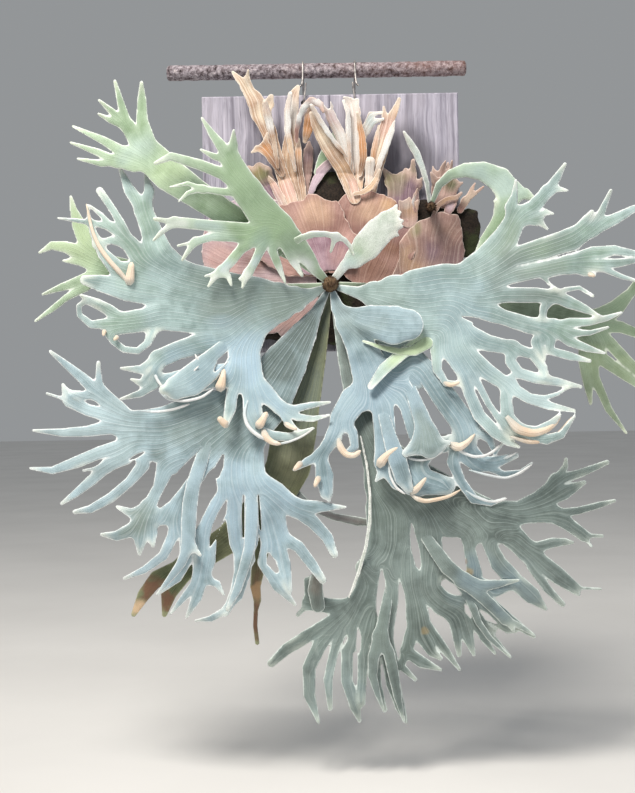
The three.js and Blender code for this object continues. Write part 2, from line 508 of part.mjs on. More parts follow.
// One pass over the sides of the triangles. The change gets a side's two ends, the third point of the
// triangle on its left and that of the one on its right, if there is one, and gives new triangles or nothing.
function changeSides(triangles, change) {
  const sides = new Map(), kept = new Set(triangles.keys()), made = [];
  triangles.forEach((t, i) => t.forEach((a, k) => sides.set(`${a},${t[(k + 1) % 3]}`, i)));
  triangles.forEach((t, i) => t.forEach((a, k) => {
    const b = t[(k + 1) % 3], c = t[(k + 2) % 3], j = sides.get(`${b},${a}`);
    if (!kept.has(i) || (j !== undefined && (j < i || !kept.has(j)))) return;
    const fresh = change(a, b, c, j === undefined ? undefined : triangles[j].find((v) => v !== a && v !== b));
    if (!fresh) return;
    kept.delete(i);
    kept.delete(j);
    made.push(...fresh);
  }));
  return { triangles: [...[...kept].map((i) => triangles[i]), ...made], changed: made.length > 0 };
}

const LONGEST = 42; // side of a blade's triangle, so that it follows the blade's bend

// Triangles made rounder by turning the sides between them, and split at sides that are too long.
function refined(points, triangles) {
  const gapBetween = (a, b) => Math.hypot(points[a][0] - points[b][0], points[a][1] - points[b][1]);
  const turn = (a, b, c, d) => {
    if (d === undefined) return false;
    const [p, q, r, s] = [a, b, c, d].map((i) => points[i]);
    const blunt = angleAt(r, p, q) + angleAt(s, p, q) > Math.PI + 1e-3;
    return blunt && turnsLeft(p, s, r) > 1e-3 && turnsLeft(s, q, r) > 1e-3 && [[a, d, c], [d, b, c]];
  };
  const split = (a, b, c, d) => {
    if (gapBetween(a, b) <= LONGEST) return false;
    const m = points.push([0, 1].map((i) => (points[a][i] + points[b][i]) / 2)) - 1;
    return [[a, m, c], [m, b, c], ...(d === undefined ? [] : [[b, m, d], [m, a, d]])];
  };
  let now = { triangles, changed: true };
  for (let round = 0; round < 4 && now.changed; round++) {
    for (let pass = 0; pass < 40 && now.changed; pass++) now = changeSides(now.triangles, turn);
    now = changeSides(now.triangles, split);
  }
  for (let pass = 0; pass < 40 && now.changed; pass++) now = changeSides(now.triangles, turn);
  return now.triangles;
}

function blade(tree, depthAt, thick) {
  const chains = chainsOf(tree);
  const loops = traceEdge(chains).map((loop) => loop.map(([x, z]) => new THREE.Vector2(x, z)));
  const outer = loops.reduce((a, b) => (THREE.ShapeUtils.area(a) > THREE.ShapeUtils.area(b) ? a : b));
  const holes = loops.filter((loop) => loop !== outer && THREE.ShapeUtils.isClockWise(loop));
  const points = [outer, ...holes].flat().map((p) => [p.x, p.y]);
  const triangles = refined(points, THREE.ShapeUtils.triangulateShape(outer, holes));
  const depth = (x, z) => depthAt(x, z) + liftAt(chains, x, z);
  return sheet(points, triangles, (x, z) => depth(x, z) + thick / 2, (x, z) => depth(x, z) - thick / 2);
}

const CREST = 260; // how far from its bud a frond comes to its foremost
const DROOP = 0.35; // share of its rise that it has lost again at twice that

// A tree whose foot is drawn in to the side of its bud.
function seated([[x, z, width, ...lift], ...rest], bud) {
  const away = Math.hypot(x - bud.x, z - bud.z), share = (bud.radius + 1.2 * GAP + width / 2) / away;
  return [[bud.x + (x - bud.x) * share, bud.z + (z - bud.z) * share, width, ...lift], ...rest];
}

// A frond comes forward as it leaves its bud, and then hangs back.
function archOf({ depth, rise, tree }, bud) {
  return blade(seated(tree, bud), (x, z) => {
    const out = Math.hypot(x - bud.x, z - bud.z) / CREST;
    return depth + rise * (out < 1 ? Math.sin((out * Math.PI) / 2) : 1 - DROOP * (out - 1) ** 2);
  }, BLADE);
}

function rootsDepth(x, z) {
  const across = Math.hypot((x - ROOTS.middle[0]) / ROOTS.half[0], (z - ROOTS.middle[1]) / ROOTS.half[1]);
  return ROOTS.rim + ROOTS.height * Math.max(1 - across ** 2, 0) ** 0.8;
}
const standing = (stand) => (x, z) => rootsDepth(x, z) + stand;

// A dome's outline drawn in towards its middle in rings.
const RINGS = [0.4, 0.75, 1];
function dome({ middle, outline }, frontDepth, backDepth) {
  const count = outline.length, points = [middle], triangles = [];
  for (const share of RINGS)
    for (const p of outline) points.push([0, 1].map((i) => middle[i] + (p[i] - middle[i]) * share));
  const turned = THREE.ShapeUtils.isClockWise(outline.map(([x, z]) => new THREE.Vector2(x, z)));
  const add = (a, b, c) => triangles.push(turned ? [a, c, b] : [a, b, c]);
  for (let i = 0; i < count; i++) {
    const j = (i + 1) % count;
    add(0, 1 + i, 1 + j);
    for (let r = 1; r < RINGS.length; r++) {
      const [a, b] = [1 + (r - 1) * count, 1 + r * count];
      add(a + i, b + i, b + j);
      add(a + i, b + j, a + j);
    }
  }
  return sheet(points, triangles, frontDepth, backDepth);
}

// A bud's stem, round as seen from in front, with a rounded tip.
function stem({ x, z, radius, foot, shoulder, tip }) {
  const around = 20, rings = [[radius, foot], [radius, shoulder], [radius * 0.85, (shoulder * 2 + tip) / 3],
    [radius * 0.5, (shoulder + tip * 4) / 5]];
  const vertices = rings.flatMap(([r, depth]) => Array.from({ length: around }, (_, i) => {
    const angle = (i / around) * 2 * Math.PI;
    return place([x + r * Math.cos(angle), z + r * Math.sin(angle)], depth);
  }));
  vertices.push(place([x, z], foot), place([x, z], tip));
  const index = [], last = (rings.length - 1) * around;
  for (let i = 0; i < around; i++) {
    const j = (i + 1) % around;
    index.push(vertices.length - 2, j, i, vertices.length - 1, last + i, last + j);
    for (let r = 0; r < last; r += around)
      index.push(r + i, r + j, r + around + j, r + i, r + around + j, r + around + i);
  }
  return new THREE.BufferGeometry()
    .setAttribute("position", new THREE.Float32BufferAttribute(vertices.flat(), 3))
    .setIndex(index);
}

// ---------------------------------------------------------------- board, battens, screws, bar, wires
function solidOf(geometry) {
  const plain = geometry.index ? geometry.toNonIndexed() : geometry;
  const keys = new Map(), vertices = [], triangles = [];
  const position = plain.getAttribute("position");
  for (let i = 0; i < position.count; i++) {
    const p = [position.getX(i), position.getY(i), position.getZ(i)];
    const key = p.map((v) => Math.round(v * 1e4)).join();
    if (!keys.has(key)) {
      keys.set(key, keys.size);
      vertices.push(...p);
    }
    triangles.push(keys.get(key));
  }
  return new wasm.Manifold(new wasm.Mesh({
    numProp: 3, vertProperties: new Float32Array(vertices), triVerts: new Uint32Array(triangles),
  }));
}

function geometryOf(solid) {
  const mesh = solid.getMesh();
  return new THREE.BufferGeometry()
    .setAttribute("position", new THREE.BufferAttribute(new Float32Array(mesh.vertProperties), 3))
    .setIndex(new THREE.BufferAttribute(new Uint32Array(mesh.triVerts), 1));
}

// A round rod along Y, or the space for one.
function rodAlongY(diameter, x, z, from, to, sides = 16) {
  const r = diameter / 2;
  return new THREE.CylinderGeometry(r, r, to - from, sides).translate(x, (from + to) / 2, z);
}

const battenFront = BOARD.thick + GAP, battenBack = battenFront + BATTEN.thick;

function screwSpace(x, z, slack) {
  const beyond = battenBack + 1, tip = battenBack - SCREW.length - slack;
  const headFrom = battenBack - SCREW.headDepth - slack;
  return solidOf(rodAlongY(SCREW.shank + 2 * slack, x, z, tip, beyond, 8))
    .add(solidOf(rodAlongY(SCREW.head + 2 * slack, x, z, headFrom, beyond, 12)));
}

const plankWidth = (BOARD.width - GAP) / 2;

function plank(side) {
  const half = plankWidth / 2 - BOARD.bevel, tall = BOARD.height / 2 - BOARD.bevel;
  const outline = new THREE.Shape([[-half, -tall], [half, -tall], [half, tall], [-half, tall]]
    .map(([x, z]) => new THREE.Vector2(x, z)));
  const body = new THREE.ExtrudeGeometry(outline, {
    depth: BOARD.thick - 2 * BOARD.bevel, bevelSegments: 1,
    bevelSize: BOARD.bevel, bevelThickness: BOARD.bevel,
  }).rotateX(Math.PI / 2).translate(side * (plankWidth + GAP) / 2, BOARD.thick - BOARD.bevel, 0);
  const holeAcross = WIRE.across[side < 0 ? 0 : 1];
  const hole = solidOf(rodAlongY(WIRE.hole, holeAcross, WIRE.holeHeight, -1, BOARD.thick + 1, 20));
  let made = solidOf(body).subtract(hole);
  for (const x of SCREW.across.filter((at) => at * side > 0))
    for (const z of [BATTEN.rise, -BATTEN.rise]) made = made.subtract(screwSpace(x, z, GAP));
  return geometryOf(made);
}

function batten(z) {
  let made = solidOf(new THREE.BoxGeometry(BATTEN.length, BATTEN.thick, BATTEN.height)
    .translate(0, battenFront + BATTEN.thick / 2, z));
  for (const x of SCREW.across) made = made.subtract(screwSpace(x, z, GAP));
  return geometryOf(made);
}

function screw(x, z) {
  const headFrom = battenBack - SCREW.headDepth;
  const shank = rodAlongY(SCREW.shank, x, z, battenBack - SCREW.length, headFrom + SCREW.headDepth / 2, 8);
  return geometryOf(solidOf(shank).add(solidOf(rodAlongY(SCREW.head, x, z, headFrom, battenBack, 12))));
}

function bar() {
  const r = BAR.diameter / 2, length = BAR.right - BAR.left, blunt = 3;
  const profile = [[0, 0], [r - blunt, 0], [r, blunt], [r, length - blunt], [r - blunt, length], [0, length]]
    .map(([x, y]) => new THREE.Vector2(x, y));
  return new THREE.LatheGeometry(profile, 28).rotateZ(-Math.PI / 2)
    .translate(BAR.left, BOARD.thick / 2, BAR.height);
}

// A wire from its loose end in front of the board, up over the bar, down behind the board, through the
// plank's hole and up again beside the loose end. Lean is the side, 1 or -1, to which it is bent at the front.
const BEND = 1.2; // how far the wire stands off the board where it turns
const KNOT = { low: 154, middle: 158, high: 163, spread: 3.2, out: 7 }; // heights, and how far its ends part
const TURN = 6; // points on the way over the bar

function wire(x, lean) {
  const thick = WIRE.diameter / 2, mid = BOARD.thick / 2, round = BAR.diameter / 2 + GAP + thick;
  const front = -thick - GAP - BEND, back = BOARD.thick + thick + GAP + BEND;
  const floor = WIRE.holeHeight - WIRE.hole / 2 + thick + GAP; // the wire's middle where it lies in the hole
  const path = [[x - KNOT.spread * lean, front - KNOT.out, KNOT.middle],
    [x - (KNOT.spread / 2) * lean, front - 2, KNOT.high - 2],
    [x - (KNOT.spread / 5) * lean, front, KNOT.high + 4]];
  for (let i = 0; i <= TURN; i++) {
    const angle = Math.PI - (i / TURN) * Math.PI;
    path.push([x, mid + round * Math.cos(angle), BAR.height + round * Math.sin(angle)]);
  }
  path.push([x, back, KNOT.high + 2], [x, back, WIRE.holeHeight + 7], [x, back - 2 * BEND, floor + 1],
    [x, mid, floor], [x, front + 3 * BEND, floor + 0.6], [x + lean, front - BEND, floor + 5],
    [x + (KNOT.spread * 0.75) * lean, front - 1, KNOT.low], [x + KNOT.spread * lean, front - 2, KNOT.high]);
  const curve = new THREE.CatmullRomCurve3(path.map((p) => new THREE.Vector3(...p)), false, "centripetal");
  const section = new THREE.Shape(Array.from({ length: 6 }, (_, i) =>
    new THREE.Vector2(thick, 0).rotateAround(new THREE.Vector2(), (i / 6) * 2 * Math.PI)));
  return new THREE.ExtrudeGeometry(section, { steps: 40, extrudePath: curve, bevelEnabled: false });
}

// ---------------------------------------------------------------- colours and assembly
const COLOUR = {
  frond: 0xa9bdb8, frond_back: 0x7e8279, young: 0xd5ddd8, shield: 0xb98f82, shield_right: 0x7a5f5a,
  papery: 0xd9a777, cream: 0xe9dcd3, roots: 0x2a211c, bud: 0x6e4f38, wood: 0x9a93a2, iron: 0x6b5a5e,
  wire: 0xb9b4b2, screw: 0x8a8d90,
};

const middle = new THREE.Group();
middle.position.set(0, -battenBack, -BATTEN.rise); // the origin goes to the upper batten's back face

function add(name, geometry, colour, roughness = 0.8, metalness = 0) {
  const material = new THREE.MeshStandardMaterial({ color: colour, roughness, metalness });
  const mesh = new THREE.Mesh(geometry, material);
  mesh.name = name;
  middle.add(mesh);
}

add("plank_left", plank(-1), COLOUR.wood);
add("plank_right", plank(1), COLOUR.wood);
add("batten_upper", batten(BATTEN.rise), COLOUR.wood);
add("batten_lower", batten(-BATTEN.rise), COLOUR.wood);
SCREW.across.forEach((x, i) => {
  add(`screw_upper_${i + 1}`, screw(x, BATTEN.rise), COLOUR.screw, 0.4, 1);
  add(`screw_lower_${i + 1}`, screw(x, -BATTEN.rise), COLOUR.screw, 0.4, 1);
});
add("hanging_bar", bar(), COLOUR.iron, 0.9, 0.6);
add("wire_hanger_left", wire(WIRE.across[0], 1), COLOUR.wire, 0.5, 0.9);
add("wire_hanger_right", wire(WIRE.across[1], -1), COLOUR.wire, 0.5, 0.9);
add("root_ball", dome(ROOTS, rootsDepth, () => GAP), COLOUR.roots, 1);
add("crown", stem(CROWN), COLOUR.bud, 1);
add("side_bud", stem(BUD), COLOUR.bud, 1);
for (const [name, shield] of Object.entries(SHIELDS)) {
  const depth = standing(shield.stand);
  add(name, dome(shield, (x, z) => depth(x, z) + PAPERY / 2, (x, z) => depth(x, z) - PAPERY / 2),
    name.includes("right") ? COLOUR.shield_right : COLOUR.shield);
}
for (const [name, { stand, tree }] of Object.entries(LOBES))
  add(name, blade(tree, standing(stand), PAPERY), name.includes("cream") ? COLOUR.cream : COLOUR.papery);
for (const [name, frond] of Object.entries(FRONDS))
  add(name, archOf(frond, CROWN), name.includes("back") ? COLOUR.frond_back : COLOUR.frond);
add("frond_arching", archOf(ARCHING, BUD), COLOUR.frond);
add("young_frond_thin", archOf(YOUNG_THIN, BUD), COLOUR.young);
add("young_frond_broad", archOf(YOUNG_BROAD, CROWN), COLOUR.young);

export default new THREE.Group().add(middle);
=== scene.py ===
# %% [markdown]
# # A staghorn fern on a board
# A staghorn fern grows on a board of two weathered planks, which hangs from a rusty bar by two wires. Its
# living fronds fork again and again into antler-like lobes, and its dead shield leaves lie like brown paper
# over the roots. The solids of the CAD model are the frame of this scene: every piece below is placed in their
# space, in metres, and most of the plain leaf solids are replaced by finer sheets that keep their form.
# %% Load the solids
import math
from functools import partial

import bpy
import numpy as np
from mathutils import Matrix, Vector
from mathutils.kdtree import KDTree


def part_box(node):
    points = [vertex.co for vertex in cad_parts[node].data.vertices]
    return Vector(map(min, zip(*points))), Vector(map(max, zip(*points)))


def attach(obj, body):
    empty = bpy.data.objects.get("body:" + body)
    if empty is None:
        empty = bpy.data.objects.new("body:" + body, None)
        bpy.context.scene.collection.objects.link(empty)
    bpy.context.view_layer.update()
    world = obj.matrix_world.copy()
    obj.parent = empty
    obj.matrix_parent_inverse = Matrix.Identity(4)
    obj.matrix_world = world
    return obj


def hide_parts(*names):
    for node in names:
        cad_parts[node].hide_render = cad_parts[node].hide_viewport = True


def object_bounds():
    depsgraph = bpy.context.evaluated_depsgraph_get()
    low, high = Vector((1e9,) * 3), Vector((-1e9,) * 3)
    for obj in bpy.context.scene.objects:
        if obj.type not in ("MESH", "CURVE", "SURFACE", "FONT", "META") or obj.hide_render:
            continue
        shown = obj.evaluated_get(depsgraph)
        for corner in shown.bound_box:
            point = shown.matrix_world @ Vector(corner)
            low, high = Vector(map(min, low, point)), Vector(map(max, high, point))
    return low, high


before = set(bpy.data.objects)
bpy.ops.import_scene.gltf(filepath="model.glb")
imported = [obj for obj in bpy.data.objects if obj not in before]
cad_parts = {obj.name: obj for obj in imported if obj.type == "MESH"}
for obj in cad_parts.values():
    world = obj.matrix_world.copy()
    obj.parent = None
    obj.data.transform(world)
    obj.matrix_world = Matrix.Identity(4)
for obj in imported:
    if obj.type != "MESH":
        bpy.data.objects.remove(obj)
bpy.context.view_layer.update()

# %% [markdown]
# ## Where things are
# All leaf outlines below are given as seen from in front, in millimetres from the middle of the board's front
# face, x to the right and z up. A point at some depth in front of the board is drawn in towards the eye's axis,
# so that it still covers what it covers in that view. The solids were made by the same rule, so the fine leaves
# fall on them. The board's place is read from its solids.
# %% Seen place and depth to metres
MM = 0.001
EYE = {"x": -20.5, "z": -203.0, "distance": 1500.0}
BOARD_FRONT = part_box("plank_left")[0][1]
BOARD_MIDDLE = (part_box("plank_left")[0][2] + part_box("plank_left")[1][2]) / 2


def place(seen, depth):
    """Points in metres for seen places (n, 2) at depths (n) in front of the board, in millimetres."""
    nearer = 1 - depth / EYE["distance"]
    x = EYE["x"] + (seen[:, 0] - EYE["x"]) * nearer
    z = EYE["z"] + (seen[:, 1] - EYE["z"]) * nearer
    return np.column_stack([x * MM, BOARD_FRONT - depth * MM, BOARD_MIDDLE + z * MM])


print("board front at y", round(BOARD_FRONT, 4), "middle at z", round(BOARD_MIDDLE, 4))

# %% [markdown]
# ## Camera
# The photograph was taken from about 200 mm below the board's middle, a metre and a half in front, with the
# camera turned by one degree. A camera matrix is built from its right, up and back directions, which says the
# roll more plainly than three angles do.
# %% The camera
ROLL = math.radians(1)
camera = bpy.data.objects.new("camera", bpy.data.cameras.new("camera"))
camera.data.lens = 58.2
camera.data.sensor_width = 36
camera.data.clip_start, camera.data.clip_end = 0.05, 50
right = Vector((math.cos(ROLL), 0, -math.sin(ROLL)))
up = Vector((math.sin(ROLL), 0, math.cos(ROLL)))
camera.matrix_world = Matrix.Translation((EYE["x"] * MM, BOARD_FRONT - EYE["distance"] * MM,
    BOARD_MIDDLE + EYE["z"] * MM)) @ Matrix(
    (right, up, right.cross(up))).transposed().to_4x4()
bpy.context.collection.objects.link(camera)
bpy.context.scene.camera = camera
print("camera at", [round(v, 3) for v in camera.matrix_world.translation])

# %% [markdown]
# ## Materials: the helpers
# Colours are picked as sRGB hex codes, which is what a picture shows, but shaders add up light in linear
# values, so one function turns the codes round. Another adds a node with its settings and its links. The others
# are short names for what the finishes below need most: noise of a real size, a blend, a range, a ramp of
# colours, and the links to the main shader.
# %% Colour and node helpers


def linear(code):
    """A hex code such as #a9bdb8 as linear red, green, blue and alpha."""
    shares = [int(code[i:i + 2], 16) / 255 for i in (1, 3, 5)]
    return tuple(c / 12.92 if c <= 0.04045 else ((c + 0.055) / 1.055) ** 2.4 for c in shares) + (1.0,)


def add_node(tree, kind, inputs=None, stops=None, **settings):
    """A node of that kind. Inputs are values or sockets by name or number, stops a ramp's (place, colour)."""
    made = tree.nodes.new("ShaderNode" + kind)
    for name, value in settings.items():
        setattr(made, name, value)
    for name, value in (inputs or {}).items():
        if isinstance(value, bpy.types.NodeSocket):
            tree.links.new(value, made.inputs[name])
        else:
            made.inputs[name].default_value = value
    if stops:
        points = made.color_ramp.elements
        for spare in list(points)[1:]:
            points.remove(spare)
        points[0].position, points[0].color = stops[0][0], linear(stops[0][1])
        for at, code in stops[1:]:
            points.new(at).color = linear(code)
    return made


def new_material(name):
    """An empty node material: the material, its node tree and its main shader."""
    material = bpy.data.materials.new(name)
    material.use_nodes = True
    return material, material.node_tree, material.node_tree.nodes["Principled BSDF"]


def noise(tree, spot, size, detail, roughness=0.5):
    """Noise from 0 to 1 with features of that size in millimetres."""
    return add_node(tree, "TexNoise", {"Vector": spot, "Scale": 1000 / size, "Detail": detail,
        "Roughness": roughness}).outputs["Fac"]


def blend(tree, share, a, b):
    """Colour a turned into b by that share. Colours are sockets or hex codes."""
    a, b = [linear(c) if isinstance(c, str) else c for c in (a, b)]
    return add_node(tree, "Mix", {0: share, 6: a, 7: b}, data_type="RGBA").outputs[2]


def span(tree, value, low, high, start=0.0, end=1.0, easing="LINEAR"):
    """A value's range from low to high turned into one from start to end, and held beyond it."""
    return add_node(tree, "MapRange", {"Value": value, "From Min": low, "From Max": high, "To Min": start,
        "To Max": end}, interpolation_type=easing).outputs["Result"]


def ramp(tree, value, *stops):
    """The colour at that value, from stops of a place and a hex code."""
    return add_node(tree, "ValToRGB", {"Fac": value}, stops=stops).outputs["Color"]


def dress(tree, shader, colour, rough, metal=0.0, height=None, strength=1.0, depth=0.0):
    """Give the main shader its colour, roughness, metal and, where there is a height, relief that deep."""
    tree.links.new(colour, shader.inputs["Base Color"])
    if isinstance(rough, bpy.types.NodeSocket):
        tree.links.new(rough, shader.inputs["Roughness"])
    else:
        shader.inputs["Roughness"].default_value = rough
    shader.inputs["Metallic"].default_value = metal
    if height:
        bump = add_node(tree, "Bump", {"Height": height, "Strength": strength, "Distance": depth})
        tree.links.new(bump.outputs["Normal"], shader.inputs["Normal"])


print("white is", linear("#ffffff"), "mid grey is", round(linear("#808080")[0], 3))

# %% [markdown]
# ## Living fronds: the finish
# A living staghorn blade is leathery, blue-green, and covered with a felt of star-shaped white hairs. The felt
# makes it silvery and dull, and it is rubbed off in patches, where the green shows. Fine raised veins fork all
# the way to the tips, and the edge and the tips are nearly white. Leaf tissue has an IOR near 1.45, no metal
# and a high roughness, and the felt adds a little sheen. The hairs are about 0.2 mm apart, too fine to show, so
# the speckle is drawn at about a millimetre. Each vertex of a blade knows how far it is from the edge and where
# in the flow of veins it lies, so the shader only has to turn these into colour and relief.
# %% Finish of the living fronds


def leaf_finish(name, light, dark, vein, rim, tip, spacing=5.0, vein_share=0.26, vein_half=0.34, rough=0.6,
        sheen=0.2, felt=0.12, streak=0.11, streaks=110.0, margin=0.3, rim_width=1.2):
    """Leaf finish from five hex colours. Lengths are in mm; vein_share, felt and streak are shares."""
    material, tree, shader = new_material(name)
    spot = add_node(tree, "TexCoord").outputs["Object"]
    edge, flow, level, ends = [add_node(tree, "Attribute", attribute_name=n).outputs["Fac"]
        for n in ("edge", "flow", "level", "tip")]
    tone, tint = [add_node(tree, "Attribute", attribute_name=n).outputs for n in ("tone", "tint")]
    reckon = lambda operation, *values, **more: add_node(
        tree, "Math", dict(enumerate(values)), operation=operation, **more).outputs[0]
    mix, ease = partial(blend, tree), partial(span, tree, easing="SMOOTHSTEP")

    # patches of 45 mm and of 9 mm where the felt is thick or rubbed off, and a speckle of 0.8 mm
    broad, patches, speckle = noise(tree, spot, 45, 3), noise(tree, spot, 9, 4), noise(tree, spot, 0.8, 2)
    mottle = reckon("MULTIPLY_ADD", broad, 0.7, reckon("MULTIPLY", patches, 0.3))
    colour = mix(ease(mottle, 0.36, 0.62), dark, light)
    # tones that the leaf's vertices carry: its colours, and painted shade and painted light where a blade lies
    # in shade or faces the light
    colour = mix(tone["Alpha"], colour, tone["Color"])

    # the veins: lines where the flow is a whole number of parts, and fainter ones between them
    whole = reckon("FLOOR", level)
    extra = reckon("SUBTRACT", level, whole)
    part = reckon("MULTIPLY", flow, reckon("POWER", 2.0, whole))
    stretch = reckon("MULTIPLY", reckon("POWER", 2.0, extra), spacing)
    line_at = lambda part, stretch: ease(reckon("MULTIPLY", reckon("PINGPONG", part, 0.5), stretch),
        vein_half * 0.5, vein_half * 1.9, 1.0, 0.0)
    main, finer = line_at(part, stretch), line_at(reckon("MULTIPLY", part, 2.0),
        reckon("MULTIPLY", stretch, 0.5))
    veins = reckon("MAXIMUM", main, reckon("MULTIPLY", finer, ease(extra, 0.15, 0.95)))
    faint = ease(patches, 0.3, 0.65, vein_share * 0.45, vein_share * 1.25)  # not clear everywhere
    colour = mix(reckon("MULTIPLY", veins, faint), colour, vein)

    # streaks along the veins, so many across the leaf's foot, and a paler margin
    along = noise(tree, spot, 30, 2)
    across = reckon("MULTIPLY_ADD", along, 1.6, reckon("MULTIPLY", flow, streaks))
    lines = add_node(tree, "TexNoise", {"W": across, "Scale": 1.0, "Detail": 5.0, "Roughness": 0.7},
        noise_dimensions="1D").outputs["Fac"]
    colour = mix(ease(lines, 0.5, 0.64, 0.0, streak), colour, dark)
    colour = mix(ease(lines, 0.5, 0.36, 0.0, streak), colour, rim)
    colour = mix(ease(edge, 0.8, 6.5, margin, 0.0), colour, vein)

    # pale tips and a pale rim, and local tints that the leaf's own vertices carry
    colour = mix(reckon("MULTIPLY", ends, 0.75), colour, tip)
    ragged = reckon("MULTIPLY", edge, ease(patches, 0.32, 0.68, 1.7, 0.75))
    colour = mix(ease(ragged, rim_width * 0.35, rim_width * 1.3, 0.92, 0.0), colour, rim)
    colour = mix(tint["Alpha"], colour, tint["Color"])
    dotted = ease(speckle, 0.35, 0.7, 1 - felt / 2, 1 + felt / 2)
    colour = add_node(tree, "VectorMath", {0: colour, "Scale": dotted}, operation="SCALE").outputs["Vector"]
    relief = reckon("MULTIPLY_ADD", veins, 0.6, reckon("MULTIPLY", speckle, felt * 1.2))
    dress(tree, shader, colour, rough, height=relief, strength=0.5, depth=0.0007)
    shader.inputs["IOR"].default_value = 1.45
    shader.inputs["Sheen Weight"].default_value = sheen
    shader.inputs["Sheen Roughness"].default_value = 0.5
    return material


FINISHES = {name: leaf_finish("leathery_leaf_" + name, *colours, **more) for name, (colours, more) in {
    "silver": (("#a3bab9", "#7d9390", "#cfdfe0", "#f4f8f6", "#e9eee2"), {}),
    "blue": (("#9eb6bf", "#758b8f", "#c9dbe1", "#f1f6f6", "#e6ece4"), {"streak": 0.16}),
    "cool": (("#93aab3", "#6c8288", "#b7cdd6", "#eef4f4", "#dfe8e4"), {"streak": 0.16}),
    "green": (("#aec5a7", "#86a07d", "#cadcc6", "#f1f8ee", "#e6efda"), {"vein_share": 0.14, "streak": 0.08}),
    "under": (("#7d8b87", "#55625e", "#9dadaa", "#dbe5e0", "#c5cfc5"), {"vein_share": 0.26, "streak": 0.15}),
    "olive": (("#75795a", "#4b5038", "#979b74", "#b4b894", "#a8aa84"), {"vein_share": 0.3, "streak": 0.25}),
    "shaded": (("#8fa08c", "#5c6e57", "#a9b8a1", "#dbe3d3", "#cfd8bd"), {"vein_share": 0.16, "streak": 0.12}),
    "down": (("#d4dbd4", "#a7b6a6", "#eef1eb", "#fafbf7", "#f3f3ea"),
        {"felt": 0.3, "sheen": 0.5, "streak": 0.1}),
}.items()}
print("leaf finishes:", ", ".join(FINISHES))

